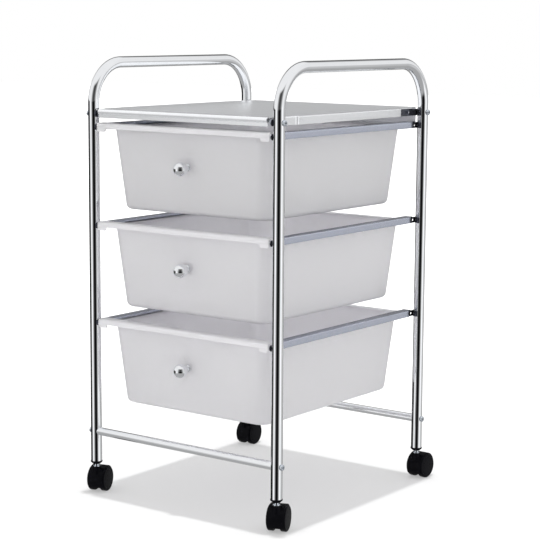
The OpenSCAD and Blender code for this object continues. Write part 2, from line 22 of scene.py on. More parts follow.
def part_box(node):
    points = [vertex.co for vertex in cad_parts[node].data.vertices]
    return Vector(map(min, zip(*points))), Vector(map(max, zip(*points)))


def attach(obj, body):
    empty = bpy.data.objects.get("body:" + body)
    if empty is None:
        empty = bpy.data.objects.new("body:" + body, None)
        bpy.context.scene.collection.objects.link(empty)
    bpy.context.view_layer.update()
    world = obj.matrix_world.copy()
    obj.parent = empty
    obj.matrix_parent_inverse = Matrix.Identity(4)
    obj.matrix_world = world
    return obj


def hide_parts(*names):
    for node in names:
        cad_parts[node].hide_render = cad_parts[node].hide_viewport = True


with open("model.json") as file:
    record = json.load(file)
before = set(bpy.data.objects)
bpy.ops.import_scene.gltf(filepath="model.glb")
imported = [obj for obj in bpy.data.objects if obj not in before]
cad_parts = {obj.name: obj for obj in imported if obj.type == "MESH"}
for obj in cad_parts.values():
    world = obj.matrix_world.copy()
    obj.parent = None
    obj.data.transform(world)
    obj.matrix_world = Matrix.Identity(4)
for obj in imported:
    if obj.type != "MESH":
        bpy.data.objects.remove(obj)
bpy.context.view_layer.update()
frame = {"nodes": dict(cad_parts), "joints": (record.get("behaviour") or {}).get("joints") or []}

LOG = logging.getLogger("drawer_cart")
MM = 0.001
# Signs of X and Y at the four legs
LEGS = ((-1, -1), (-1, 1), (1, -1), (1, 1))
# Points nearer than this are welded, in millimetres
WELD = 1e-4
# Edges that turn by more than these degrees are rounded off, and stay sharp in the shading
ROUNDED_FROM = 38.0
SHARP_FROM = 34.0

Mesh = bpy.types.Mesh
Material = bpy.types.Material
Tree = bpy.types.NodeTree
Socket = bpy.types.NodeSocket
# Two and three numbers that belong together
Pair = tuple[float, float]
Triple = tuple[float, float, float]
Ring = list[Vector]


class Side(Enum):
    """A side of the cart, seen from the drawer fronts."""

    LEFT = "left"
    RIGHT = "right"

    @property
    def sign(self) -> int:
        """Sign of X on this side."""
        return -1 if self is Side.LEFT else 1


class Level(Enum):
    """One of the three drawer levels."""

    TOP = "top"
    MIDDLE = "middle"
    BOTTOM = "bottom"


class Corner(Enum):
    """One of the four legs."""

    FRONT_LEFT = "front_left"
    FRONT_RIGHT = "front_right"
    BACK_LEFT = "back_left"
    BACK_RIGHT = "back_right"

    @property
    def sign(self) -> int:
        """Sign of X at this leg."""
        return 1 if "right" in self.value else -1


class Axis(Enum):
    """One of the cart's axes."""

    X = 0
    Y = 1
    Z = 2


class Slot(Enum):
    """Material slots of the record."""

    TUBE = "chromed_tube"
    SHEET = "chromed_sheet"
    KNOB = "chromed_knob"
    ZINC = "zinc"
    FROSTED = "frosted_plastic"
    NYLON = "black_nylon"
    TREAD = "black_tread"


def linear(hex_colour: str) -> tuple[float, float, float, float]:
    """Turns an sRGB hex colour into a linear one.

    Args:
        hex_colour: A colour such as "#d8dadd".

    Returns:
        Red, green, blue and an alpha of 1, all linear.
    """
    channels = [int(hex_colour[i : i + 2], 16) / 255 for i in (1, 3, 5)]
    lit = [c / 12.92 if c <= 0.04045 else ((c + 0.055) / 1.055) ** 2.4 for c in channels]
    return (lit[0], lit[1], lit[2], 1.0)


def add_node(
    tree: Tree, kind: str, inputs: Mapping[Any, Any] | None = None, **settings: Any
) -> bpy.types.Node:
    """Adds a node with its settings, values and links.

    Args:
        tree: The tree that the node goes into.
        kind: The node's type name.
        inputs: Socket name or index to a value, or to the output socket that is linked there.
        **settings: Properties of the node itself.

    Returns:
        The new node.
    """
    node = tree.nodes.new(kind)
    for name, value in settings.items():
        setattr(node, name, value)
    for key, value in (inputs or {}).items():
        if isinstance(value, Socket):
            tree.links.new(value, node.inputs[key])
        else:
            node.inputs[key].default_value = value
    return node


def fresh_tree(owner: Material | bpy.types.World) -> Tree:
    """Gives a material or a world an empty node tree.

    Args:
        owner: The material or world.

    Returns:
        Its tree.
    """
    owner.use_nodes = True
    owner.node_tree.nodes.clear()
    return owner.node_tree


def add_object(name: str, data: bpy.types.ID) -> bpy.types.Object:
    """Puts a new object in the scene, at the origin.

    Args:
        name: Its name.
        data: Its mesh, curve, lamp or camera.

    Returns:
        The object.
    """
    thing = bpy.data.objects.new(name, data)
    bpy.context.scene.collection.objects.link(thing)
    return thing


# Shapes. All of them are in millimetres until Assembly.put turns them into metres.


def arc(centre: Pair, radius: float, start: float, end: float, steps: int) -> list[Pair]:
    """Points of an arc from one angle in degrees to another, both ends included."""
    angles = [math.radians(start + (end - start) * k / steps) for k in range(steps + 1)]
    return [(centre[0] + radius * math.cos(a), centre[1] + radius * math.sin(a)) for a in angles]


def fillet(corners: Sequence[Triple], closed: bool = False, steps: int = 6) -> list[Pair]:
    """Outline through corners that are each rounded by their own radius.

    Args:
        corners: Corners as x, y and radius.
        closed: Whether the last corner joins the first.
        steps: Number of straight steps in each rounded corner.

    Returns:
        The outline's points; the number of points depends only on which radii are above zero.
    """
    outline: list[Pair] = []
    count = len(corners)
    most = 0.49
    for i, (x, y, wanted) in enumerate(corners):
        if wanted <= 0 or (not closed and i in (0, count - 1)):
            outline.append((x, y))
            continue
        corner = Vector((x, y))
        before = Vector(corners[i - 1][:2]) - corner
        after = Vector(corners[(i + 1) % count][:2]) - corner
        half = before.angle(after) / 2
        reach = min(wanted / math.tan(half), most * before.length, most * after.length)
        radius = reach * math.tan(half)
        centre = corner + (before.normalized() + after.normalized()).normalized() * radius / math.sin(half)
        first = corner + before.normalized() * reach - centre
        last = corner + after.normalized() * reach - centre
        start = math.atan2(first.y, first.x)
        turn = (math.atan2(last.y, last.x) - start + math.pi) % (2 * math.pi) - math.pi
        outline += arc((centre.x, centre.y), radius, math.degrees(start), math.degrees(start + turn), steps)
    return outline


def ribbon(path: Sequence[Pair], thickness: float) -> list[Pair]:
    """Closed section of bent sheet.

    Args:
        path: The sheet's outer face; its thickness lies on the right of the direction of travel.
        thickness: Sheet thickness.

    Returns:
        The closed outline of the sheet.
    """
    sharpest = 0.3
    inner: list[Pair] = []
    for i, point in enumerate(path):
        legs = ((path[max(i - 1, 0)], point), (point, path[min(i + 1, len(path) - 1)]))
        along = [(Vector(b) - Vector(a)).normalized() for a, b in legs if a != b]
        normals = [Vector((t.y, -t.x)) for t in along]
        mean = sum(normals, Vector((0, 0))).normalized()
        offset = Vector(point) + mean * thickness / max(mean.dot(normals[0]), sharpest)
        inner.append((offset.x, offset.y))
    return list(path) + inner[::-1]


def s_curve(start: float, end: float, steps: int) -> list[Pair]:
    """Smooth step between two values, as pairs of the share of the way and the value there."""
    shares = [k / steps for k in range(steps + 1)]
    return [(t, start + (end - start) * (1 - math.cos(math.pi * t)) / 2) for t in shares]


def quarter(radius: float, steps: int) -> list[Pair]:
    """Quarter round, as pairs of the way gone from its first edge and the way left to its last one."""
    angles = [k * math.pi / 2 / steps for k in range(steps + 1)]
    return [(radius * (1 - math.cos(a)), radius * (1 - math.sin(a))) for a in angles]


def across(outline: Sequence[Pair], axis: Axis, at: float) -> Ring:
    """Ring of points with an outline across one axis, at one place along it."""
    return [Vector((*point[: axis.value], at, *point[axis.value :])) for point in outline]


def to_mesh(bm: bmesh.types.BMesh) -> Mesh:
    """Turns a bmesh into a mesh with its faces pointing outwards.

    Args:
        bm: The bmesh, which is freed.

    Returns:
        The mesh.
    """
    bmesh.ops.remove_doubles(bm, verts=bm.verts, dist=WELD)
    bmesh.ops.recalc_face_normals(bm, faces=bm.faces)
    mesh = bpy.data.meshes.new("shape")
    bm.to_mesh(mesh)
    bm.free()
    return mesh


def loft(rings: Sequence[Ring]) -> Mesh:
    """Closed body through rings of equally many points.

    Args:
        rings: The rings, first to last; the first and last are closed with flat faces.

    Returns:
        The mesh.
    """
    bm = bmesh.new()
    rows = [[bm.verts.new(point) for point in ring] for ring in rings]
    for low, high in zip(rows, rows[1:]):
        for i in range(len(low)):
            j = (i + 1) % len(low)
            bm.faces.new((low[i], low[j], high[j], high[i]))
    bm.faces.new(rows[0][::-1])
    bm.faces.new(rows[-1])
    return to_mesh(bm)


def extrude(outline: Sequence[Pair], axis: Axis, low: float, high: float) -> Mesh:
    """Body with the same outline across an axis from one place along it to another."""
    return loft([across(outline, axis, at) for at in (low, high)])


def block(low: Sequence[float], high: Sequence[float]) -> Mesh:
    """Box between two corners."""
    (x0, y0, z0), (x1, y1, z1) = low, high
    return extrude([(x0, y0), (x1, y0), (x1, y1), (x0, y1)], Axis.Z, z0, z1)


def lathe(
    profile: Sequence[Pair], place: Matrix | None = None, sides: int = 64, ring: bool = False
) -> Mesh:
    """Body of revolution.

    Args:
        profile: Points as radius and height along local Z.
        place: Where the body's own frame goes.
        sides: Number of steps round the axis.
        ring: Whether the profile is a closed loop round a bore.

    Returns:
        The mesh.
    """
    matrix = place or Matrix.Identity(4)
    angles = [2 * math.pi * k / sides for k in range(sides)]
    bm = bmesh.new()
    rows = []
    for radius, height in profile:
        spots = [(radius * math.cos(a), radius * math.sin(a), height) for a in angles]
        if radius < WELD:
            spots = [(0.0, 0.0, height)]
        rows.append([bm.verts.new(matrix @ Vector(spot)) for spot in spots])
    pairs = list(zip(rows, rows[1:]))
    if ring:
        pairs.append((rows[-1], rows[0]))
    for low, high in pairs:
        for i in range(sides):
            j = (i + 1) % sides
            around = [low[i % len(low)], low[j % len(low)], high[j % len(high)], high[i % len(high)]]
            face = list(dict.fromkeys(around))
            if len(face) > 2:
                bm.faces.new(face)
    return to_mesh(bm)


def rod(radius: float, low: float, high: float, place: Matrix | None = None, sides: int = 64) -> Mesh:
    """Plain round bar along local Z, from one height to another."""
    return lathe([(0, low), (radius, low), (radius, high), (0, high)], place, sides)


def evaluate(carrier: bpy.types.Object) -> Mesh:
    """Applies a scratch object's modifiers, and removes the object.

    Args:
        carrier: The scratch object.

    Returns:
        The plain mesh that it makes.
    """
    bpy.context.view_layer.update()
    graph = bpy.context.evaluated_depsgraph_get()
    mesh = bpy.data.meshes.new_from_object(carrier.evaluated_get(graph))
    data = carrier.data
    bpy.data.objects.remove(carrier)
    if data.users == 0 and isinstance(data, bpy.types.Curve):
        bpy.data.curves.remove(data)
    return mesh


def plate(outlines: Sequence[Sequence[Pair]], thickness: float, edge: float, place: Matrix) -> Mesh:
    """Flat plate with broken edges.

    Args:
        outlines: The outer outline, then the outline of each hole.
        thickness: Thickness, from local Z 0 upwards.
        edge: Radius of the broken edges.
        place: Where the plate's own frame goes.

    Returns:
        The mesh.
    """
    curve = bpy.data.curves.new("plate", "CURVE")
    curve.dimensions = "2D"
    curve.fill_mode = "BOTH"
    curve.extrude = thickness / 2 - edge
    curve.bevel_depth = edge
    curve.bevel_resolution = 1
    curve.offset = -edge
    for outline in outlines:
        spline = curve.splines.new("POLY")
        spline.points.add(len(outline) - 1)
        spline.use_cyclic_u = True
        for point, (x, y) in zip(spline.points, outline):
            point.co = (x, y, 0, 1)
    mesh = evaluate(add_object("plate", curve))
    mesh.transform(place @ Matrix.Translation((0, 0, thickness / 2)))
    bm = bmesh.new()
    bm.from_mesh(mesh)
    bpy.data.meshes.remove(mesh)
    return to_mesh(bm)


def combine(base: Mesh, join: Sequence[Mesh] = (), cut: Sequence[Mesh] = ()) -> Mesh:
    """Joins closed bodies to another, then cuts others from it, exactly and in order.

    Args:
        base: The body that the work starts from.
        join: Bodies that are added to it.
        cut: Bodies that are then taken from it.

    Returns:
        The resulting mesh.
    """
    carrier = add_object("base", base)
    helpers = []
    for operation, tools in (("UNION", join), ("DIFFERENCE", cut)):
        for tool in tools:
            modifier = carrier.modifiers.new(operation, "BOOLEAN")
            modifier.operation = operation
            modifier.solver = "EXACT"
            modifier.object = add_object("tool", tool)
            helpers.append(modifier.object)
    result = evaluate(carrier)
    for helper in helpers:
        bpy.data.objects.remove(helper)
    return result


def soften(mesh: Mesh, width: float) -> Mesh:
    """Rounds the sharp edges of a mesh.

    Args:
        mesh: The mesh with sharp edges.
        width: Width of the rounding.

    Returns:
        The rounded mesh.
    """
    carrier = add_object("soften", mesh)
    modifier = carrier.modifiers.new("bevel", "BEVEL")
    modifier.limit_method = "ANGLE"
    modifier.angle_limit = math.radians(ROUNDED_FROM)
    modifier.width = width
    modifier.segments = 2
    modifier.use_clamp_overlap = True
    modifier.miter_outer = "MITER_ARC"
    return evaluate(carrier)


def merged(meshes: Sequence[Mesh]) -> Mesh:
    """Puts several meshes into one, unchanged.

    Args:
        meshes: The meshes.

    Returns:
        The mesh that holds them all.
    """
    bm = bmesh.new()
    for mesh in meshes:
        bm.from_mesh(mesh)
    result = bpy.data.meshes.new("merged")
    bm.to_mesh(result)
    bm.free()
    return result


def moved(mesh: Mesh, place: Matrix) -> Mesh:
    """Copies a mesh to another place.

    Args:
        mesh: The mesh.
        place: Where it goes, and whether it is mirrored.

    Returns:
        The copy, with its faces still pointing outwards.
    """
    copy = mesh.copy()
    copy.transform(place)
    if place.determinant() < 0:
        copy.flip_normals()
    return copy


def along_x(x: float, y: float, z: float, sign: int = 1) -> Matrix:
    """Place whose local Z points along X, or against it where sign is -1."""
    return Matrix.Translation((x, y, z)) @ Matrix.Rotation(sign * math.pi / 2, 4, "Y")


# Geometry Nodes


def open_tree(name: str, sizes: Mapping[str, str]) -> tuple[Tree, Any]:
    """Starts a Geometry Nodes tree.

    Args:
        name: The tree's name.
        sizes: Name and socket type of each input after the geometry.

    Returns:
        The tree, and its inputs as sockets by name.
    """
    tree = bpy.data.node_groups.new(name, "GeometryNodeTree")
    tree.interface.new_socket("Geometry", in_out="OUTPUT", socket_type="NodeSocketGeometry")
    for label, kind in {"Geometry": "NodeSocketGeometry", **sizes}.items():
        tree.interface.new_socket(label, in_out="INPUT", socket_type=kind)
    return tree, add_node(tree, "NodeGroupInput").outputs


def close_tree(tree: Tree, geometry: Socket, material: Material) -> None:
    """Ends a tree with real geometry that has its material.

    Args:
        tree: The tree to end.
        geometry: The socket that gives the finished geometry.
        material: The finish of that geometry.
    """
    real = add_node(tree, "GeometryNodeRealizeInstances", {"Geometry": geometry})
    dressed = add_node(tree, "GeometryNodeSetMaterial", {"Geometry": real.outputs[0], "Material": material})
    add_node(tree, "NodeGroupOutput", {"Geometry": dressed.outputs[0]})


def run_tree(tree: Tree, mesh: Mesh, sizes: Mapping[str, Any]) -> Mesh:
    """Runs a Geometry Nodes tree on a mesh.

    Args:
        tree: The tree.
        mesh: The mesh that it starts from.
        sizes: Value of each named input.

    Returns:
        The plain mesh that it makes.
    """
    carrier = add_object(tree.name, mesh)
    modifier = carrier.modifiers.new(tree.name, "NODES")
    modifier.node_group = tree
    sockets = {s.name: s.identifier for s in tree.interface.items_tree if s.in_out == "INPUT"}
    for label, value in sizes.items():
        modifier[sockets[label]] = value
    return evaluate(carrier)


def bent_tube_tree(material: Material) -> Tree:
    """Geometry Nodes that sweep a tube along straight runs joined by bends.

    Args:
        material: The tube's finish.

    Returns:
        The tree, with Bend Radius and Tube Radius as its inputs.
    """
    bend_steps, sides = 28, 72
    tree, start = open_tree("bent_tube", {"Bend Radius": "NodeSocketFloat", "Tube Radius": "NodeSocketFloat"})
    path = add_node(tree, "GeometryNodeMeshToCurve", {"Mesh": start["Geometry"]}).outputs[0]
    bend = {"Curve": path, "Count": bend_steps, "Radius": start["Bend Radius"]}
    bends = add_node(tree, "GeometryNodeFilletCurve", bend, mode="POLY").outputs[0]
    size = {"Resolution": sides, "Radius": start["Tube Radius"]}
    circle = add_node(tree, "GeometryNodeCurvePrimitiveCircle", size).outputs[0]
    sweep = {"Curve": bends, "Profile Curve": circle, "Fill Caps": True}
    close_tree(tree, add_node(tree, "GeometryNodeCurveToMesh", sweep).outputs[0], material)
    return tree


def fixings_tree(material: Material) -> Tree:
    """Geometry Nodes that put the same small part at every point, turned by the point's own turn.

    Args:
        material: The small parts' finish.

    Returns:
        The tree, with the small part as its Pattern input.
    """
    tree, start = open_tree("fixings", {"Pattern": "NodeSocketObject"})
    pattern = add_node(tree, "GeometryNodeObjectInfo", {"Object": start["Pattern"], "As Instance": True})
    turn = add_node(tree, "GeometryNodeInputNamedAttribute", {"Name": "turn"}, data_type="FLOAT_VECTOR")
    rotation = add_node(tree, "FunctionNodeEulerToRotation", {"Euler": turn.outputs[0]}).outputs[0]
    inputs = {"Points": start["Geometry"], "Instance": pattern.outputs["Geometry"], "Rotation": rotation}
    close_tree(tree, add_node(tree, "GeometryNodeInstanceOnPoints", inputs).outputs[0], material)
    return tree


def repeated(pattern: Mesh, places: Sequence[Matrix], material: Material) -> Mesh:
    """One mesh with a small part at each place.

    Args:
        pattern: The small part, in its own frame.
        places: Where each one goes.
        material: Their finish.

    Returns:
        The mesh of all of them.
    """
    points = bpy.data.meshes.new("places")
    points.from_pydata([place.translation for place in places], [], [])
    turn = points.attributes.new("turn", "FLOAT_VECTOR", "POINT")
    for item, place in zip(turn.data, places):
        item.vector = place.to_euler()
    holder = add_object("pattern", pattern)
    mesh = run_tree(fixings_tree(material), points, {"Pattern": holder})
    bpy.data.objects.remove(holder)
    return mesh


@dataclass(frozen=True)
class Layout:
    """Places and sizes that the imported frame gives, in millimetres."""

    leg_x: float
    leg_y: float
    tube_r: float
    leg_end_z: float
    top_z: float
    shelf_z: float
    rail_z: float
    rail_r: float
    runner_tops: Mapping[Level, float]
    rim_tops: Mapping[Level, float]
    casters: Mapping[Corner, Matrix]

    @classmethod
    def from_frame(cls) -> Layout:
        """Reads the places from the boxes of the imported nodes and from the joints.

        Returns:
            The layout.
        """
        boxes = {
            name: [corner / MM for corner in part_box(name)]
            for name in ["right_side_tube", "front_lower_rail", "top_shelf"]
            + [f"{kind}_{level.value}" for kind in ("runner_right", "drawer") for level in Level]
        }
        joints = {joint["name"]: joint for joint in frame["joints"]}
        casters = {}
        for corner in Corner:
            swivel = joints[f"caster_{corner.value}_swivel"]["pos_m"]
            axle = joints[f"{corner.value}_outer_wheel_spin"]["axis"]
            turn = Matrix.Rotation(math.atan2(axle[1], axle[0]), 4, "Z")
            casters[corner] = Matrix.Translation((swivel[0] / MM, swivel[1] / MM, 0)) @ turn
        low, high = boxes["right_side_tube"]
        radius = (high.x - low.x) / 2
        rail_low, rail_high = boxes["front_lower_rail"]
        return cls(
            leg_x=(low.x + high.x) / 2,
            leg_y=(high.y - low.y) / 2 - radius,
            tube_r=radius,
            leg_end_z=low.z,
            top_z=high.z,
            shelf_z=boxes["top_shelf"][1].z,
            rail_z=(rail_low.z + rail_high.z) / 2,
            rail_r=(rail_high.z - rail_low.z) / 2,
            runner_tops={level: boxes[f"runner_right_{level.value}"][1].z for level in Level},
            rim_tops={level: boxes[f"drawer_{level.value}"][1].z for level in Level},
            casters=casters,
        )

    def at_legs(self, x: float, z: float, way: int = 1) -> list[Matrix]:
        """Places beside the four legs whose local Z points outwards, or inwards where way is -1."""
        return [along_x(sx * x, sy * self.leg_y, z, sx * way) for sx, sy in LEGS]


# Finishes. Their sizes are in metres, as Object coordinates are.


class Dressing:
    """A material in the making: its tree, its shader and the Object coordinates that its patterns read."""

    def __init__(self, name: str, sockets: Mapping[str, Any]) -> None:
        """Starts the material.

        Args:
            name: The material's name.
            sockets: Constant values of the shader's own sockets.
        """
        self.material = bpy.data.materials.new(name)
        self.tree = fresh_tree(self.material)
        self.shader = add_node(self.tree, "ShaderNodeBsdfPrincipled", sockets)
        add_node(self.tree, "ShaderNodeOutputMaterial", {"Surface": self.shader.outputs[0]})
        self.place = add_node(self.tree, "ShaderNodeTexCoord").outputs["Object"]

    def add(self, kind: str, inputs: Mapping[Any, Any] | None = None, **settings: Any) -> Any:
        """Adds a node and gives its outputs."""
        return add_node(self.tree, kind, inputs, **settings).outputs

    def given(self, label: str) -> Socket:
        """The output that is linked to one of the shader's own sockets."""
        return self.shader.inputs[label].links[0].from_socket

    def give(self, outputs: Mapping[str, Socket]) -> None:
        """Links outputs to the shader's own sockets."""
        for label, output in outputs.items():
            self.tree.links.new(output, self.shader.inputs[label])

    def zone(self, *limits: tuple[Socket, str, float]) -> Socket:
        """Makes a share that is 1 where every limit holds and 0 elsewhere.

        Args:
            *limits: Value, comparison and limit.

        Returns:
            The share.
        """
        share, *others = (
            self.add("ShaderNodeMath", {0: value, 1: limit}, operation=comparison)[0]
            for value, comparison, limit in limits
        )
        for other in others:
            share = self.add("ShaderNodeMath", {0: share, 1: other}, operation="MULTIPLY")[0]
        return share


@dataclass(frozen=True)
class Finish:
    """Finish whose tone and gloss change in patches and whose skin has a fine relief, all drawn by noise."""

    name: str
    # Tone and roughness outside the patches and in them
    tones: tuple[str, str]
    roughness: Pair
    # Scale and detail of the noise that lays out the patches, and of the noise in the relief
    patches: Pair
    relief: Pair
    depth: float
    # Levels of the noise between which the second tone comes up, and its greatest share
    spread: Triple = (0.0, 1.0, 1.0)

    def sockets(self) -> dict[str, Any]:
        """Constant values of the shader's sockets."""
        return {"Metallic": 1.0}

    def dress(self) -> Dressing:
        """Makes the material with its patches and its relief.

        Returns:
            The material in the making, with its patterns linked.
        """
        work = Dressing(self.name, self.sockets())
        patches, relief = (
            work.add("ShaderNodeTexNoise", {"Vector": work.place, "Scale": scale, "Detail": detail})["Fac"]
            for scale, detail in (self.patches, self.relief)
        )
        first, last, most = self.spread
        span = {"Value": patches, "From Min": first, "From Max": last, "To Max": most}
        share = work.add("ShaderNodeMapRange", span)[0]
        usual, other = (linear(tone) for tone in self.tones)
        tone = work.add("ShaderNodeMix", {"Factor": share, 6: usual, 7: other}, data_type="RGBA")[2]
        least, rough = self.roughness
        gloss = work.add("ShaderNodeMapRange", {"Value": patches, "To Min": least, "To Max": rough})[0]
        bump = work.add("ShaderNodeBump", {"Height": relief, "Distance": self.depth})[0]
        work.give({"Base Color": tone, "Roughness": gloss, "Normal": bump})
        return work

    def material(self) -> Material:
        """The finished material."""
        return self.dress().material


@dataclass(frozen=True)
class ChromePlate(Finish):
    """Polished chrome plate, with the faint waves of the steel below it and a few duller patches."""

    tones: tuple[str, str] = ("#f8f9fb", "#f0f2f5")
    roughness: Pair = (0.03, 0.07)
    # Patches of about 17 mm, and waves of 45 mm that bend what the plate mirrors
    patches: Pair = (60.0, 5.0)
    relief: Pair = (1 / 0.045, 1.0)
    depth: float = 0.00006
    # Share of the light that the plate mirrors; fine scratches scatter the rest
    mirror: float = 1.0
    # Places along Y, in front and behind, beyond which the pressed lugs get painted shade, a darker tone that
    # stands for shade and the dark reflection of the legs, and that tone
    painted_shade_from: Pair | None = None
    painted_shade_tone: str = "#4a4c55"
    # Least distance of the painted shade on the lugs from the cart's middle plane, and its highest place
    lug_x: float = 0.1605
    painted_shade_top: float = 1.0

    def sockets(self) -> dict[str, Any]:
        """Constant values of the shader's sockets."""
        return {"Metallic": self.mirror}

    def dress(self) -> Dressing:
        """Makes the plate, with painted shade darkening the lugs where it has any.

        Returns:
            The material in the making, with its patterns linked.
        """
        work = super().dress()
        # Painted shade: the lugs' plate is darkened to stand for shade and the dark reflection of the legs
        if self.painted_shade_from is not None:
            x, y, z = work.add("ShaderNodeSeparateXYZ", {"Vector": work.place})
            front, back = self.painted_shade_from
            aside = work.add("ShaderNodeMath", {0: x}, operation="ABSOLUTE")[0]
            middle = work.zone((y, "GREATER_THAN", -front), (y, "LESS_THAN", back))
            share = work.zone(
                (aside, "GREATER_THAN", self.lug_x),
                (middle, "LESS_THAN", 0.5),
                (z, "LESS_THAN", self.painted_shade_top),
            )
            tones = {"Factor": share, 6: work.given("Base Color"), 7: linear(self.painted_shade_tone)}
            work.give({"Base Color": work.add("ShaderNodeMix", tones, data_type="RGBA")[2]})
        return work


@dataclass(frozen=True)
class EmbossedChromePlate(ChromePlate):
    """Chrome plate on sheet whose flat top is embossed with fine dots."""

    # Height of the embossed face above the floor, how far below it the dots still count, and its ends along Y
    top: float = 0.5846
    skin: float = 0.0002
    ends: Pair = (-0.186, 0.187)
    # Spacing of the dots, drawn a little coarser than the real ones, and how unevenly they are set
    pitch: float = 0.0032
    unevenness: float = 0.15
    dot_depth: float = 0.00022
    # How much rougher the dots make the face
    added_roughness: float = 0.2

    def dress(self) -> Dressing:
        """Makes the plate with its dots.

        Returns:
            The material in the making, with its patterns linked.
        """
        work = super().dress()
        spot = work.add("ShaderNodeSeparateXYZ", {"Vector": work.place})
        grid = {"Vector": work.place, "Scale": 1 / self.pitch, "Randomness": self.unevenness}
        dots = work.add("ShaderNodeTexVoronoi", grid, voronoi_dimensions="2D", feature="F1")["Distance"]
        first, last = self.ends
        face = work.zone(
            (spot["Z"], "GREATER_THAN", self.top - self.skin),
            (spot["Y"], "GREATER_THAN", first),
            (spot["Y"], "LESS_THAN", last),
        )
        height = work.add("ShaderNodeMath", {0: dots, 1: face}, operation="MULTIPLY")[0]
        raised = {"Height": height, "Distance": self.dot_depth, "Normal": work.given("Normal")}
        rougher = {0: face, 1: self.added_roughness, 2: work.given("Roughness")}
        gloss = work.add("ShaderNodeMath", rougher, operation="MULTIPLY_ADD")[0]
        work.give({"Normal": work.add("ShaderNodeBump", raised)[0], "Roughness": gloss})
        return work


@dataclass(frozen=True)
class ZincPlate(Finish):
    """Bright zinc plate on small steel parts, slightly uneven in gloss."""

    tones: tuple[str, str] = ("#e9eef5", "#ccd3dc")
    roughness: Pair = (0.1, 0.22)
    # Both of about 1.4 mm, drawn a little coarser than the real crystals, which blur what it mirrors
    patches: Pair = (700.0, 3.0)
    relief: Pair = (700.0, 3.0)
    depth: float = 0.00002


@dataclass(frozen=True)
class FrostedPolypropylene(Finish):
    """Milky moulded polypropylene that lets soft light through."""

    tones: tuple[str, str] = ("#fbf8ff", "#f6f4fc")
    roughness: Pair = (0.42, 0.55)
    # Clouds of about 110 mm, and a mould texture of 1.5 mm, drawn a little coarser than the real one
    patches: Pair = (9.0, 2.0)
    relief: Pair = (650.0, 2.0)
    depth: float = 0.00005
    clearness: float = 0.36
    # Mean distance that light travels inside the plastic
    scatter: float = 0.006

    def sockets(self) -> dict[str, Any]:
        """Constant values of the shader's sockets.

        Returns:
            The values by socket name.
        """
        return {
            "IOR": 1.49,
            "Transmission Weight": self.clearness,
            "Subsurface Weight": 1.0,
            "Subsurface Radius": (1.0, 1.0, 1.0),
            "Subsurface Scale": self.scatter,
        }


@dataclass(frozen=True)
class MouldedNylon(Finish):
    """Black moulded nylon with a satin skin and faint scuffs."""

    tones: tuple[str, str] = ("#08080c", "#14141a")
    roughness: Pair = (0.26, 0.42)
    # Scuffs of about 8 mm, and a moulded grain of 1.1 mm, drawn a little coarser than the real one
    patches: Pair = (130.0, 6.0)
    relief: Pair = (900.0, 2.0)
    depth: float = 0.00004
    spread: Triple = (0.5, 0.8, 0.5)
    # Share of the usual reflection that the matt skin gives back
    shine: float = 0.05

    def sockets(self) -> dict[str, Any]:
        """Constant values of the shader's sockets."""
        return {"IOR": 1.53, "Specular IOR Level": self.shine}


def make_finishes() -> dict[Slot, Material]:
    """Makes the usual finish of each material slot.

    Returns:
        The materials by slot.
    """
    sheet = ChromePlate(
        "Chrome plate on steel sheet",
        tones=("#cacfdd", "#c2c7d5"),
        roughness=(0.2, 0.28),
        relief=(1 / 0.06, 1.0),
        mirror=0.85,
        # Painted shade on the runners' lugs, for shade and the dark reflection of the legs
        painted_shade_from=(0.1695, 0.1695),
    )
    tread = MouldedNylon("Black nylon tread", tones=("#09090d", "#14141a"), roughness=(0.22, 0.36))
    finishes = {
        Slot.TUBE: ChromePlate("Chrome plate on steel tube"),
        Slot.SHEET: sheet,
        Slot.KNOB: ChromePlate("Chrome plate on moulded knob", depth=0.00002),
        Slot.ZINC: ZincPlate("Bright zinc plate"),
        Slot.FROSTED: FrostedPolypropylene("Frosted polypropylene"),
        Slot.NYLON: MouldedNylon("Black moulded nylon"),
        Slot.TREAD: tread,
    }
    return {slot: finish.material() for slot, finish in finishes.items()}


@dataclass(frozen=True)
class CrossScrew:
    """Pan head screw with a cross recess; its seat is at local Z 0 and its head points along local Z."""

    length: float
    diameter: float = 5.0
    head_d: float = 8.6
    head_h: float = 3.0
    thread_pitch: float = 0.8
    # Length of the rolled thread that is drawn, from the tip
    threaded: float = 8.0
    # How far above the tip the thread begins, and how far past its turns it runs out
    thread_start: float = 0.5
    runout: float = 0.6
    # Shares of the radius at the tip, in the thread's root and along the plain shank
    tip: float = 0.7
    root: float = 0.86
    shank: float = 0.9
    # Chamfer of the head's seat, where its rounded part begins, and the rounding as a share of its height
    seat_edge: Pair = (0.25, 0.3)
    round_from: float = 0.5
    round_share: float = 0.6
    recess_width: float = 1.2
    recess_depth: float = 1.6
    recess_share: float = 0.54

    def mesh(self) -> Mesh:
        """Makes the screw.

        Returns:
            The mesh.
        """
        radius, head, low, top = self.diameter / 2, self.head_d / 2, -self.length, self.head_h
        turns = int(min(self.threaded, self.length - 1) / self.thread_pitch)
        profile = [(0.0, low), (radius * self.tip, low)]
        for turn in range(turns):
            z = low + self.thread_start + turn * self.thread_pitch
            profile += [(radius * self.root, z), (radius, z + self.thread_pitch / 2)]
        plain, (inset, rise) = radius * self.shank, self.seat_edge
        profile += [(plain, low + self.runout + turns * self.thread_pitch), (plain, 0)]
        profile += [(head - inset, 0), (head, rise)]
        crown = [(head, self.round_from, 0), (head, top, top * self.round_share), (0.0, top, 0)]
        profile += fillet(crown, steps=8)
        reach, half = self.head_d * self.recess_share / 2, self.recess_width / 2
        floor = top - self.recess_depth
        slots = [block((-a, -b, floor), (a, b, top + 1)) for a, b in ((reach, half), (half, reach))]
        return combine(lathe(profile, sides=40), cut=slots)


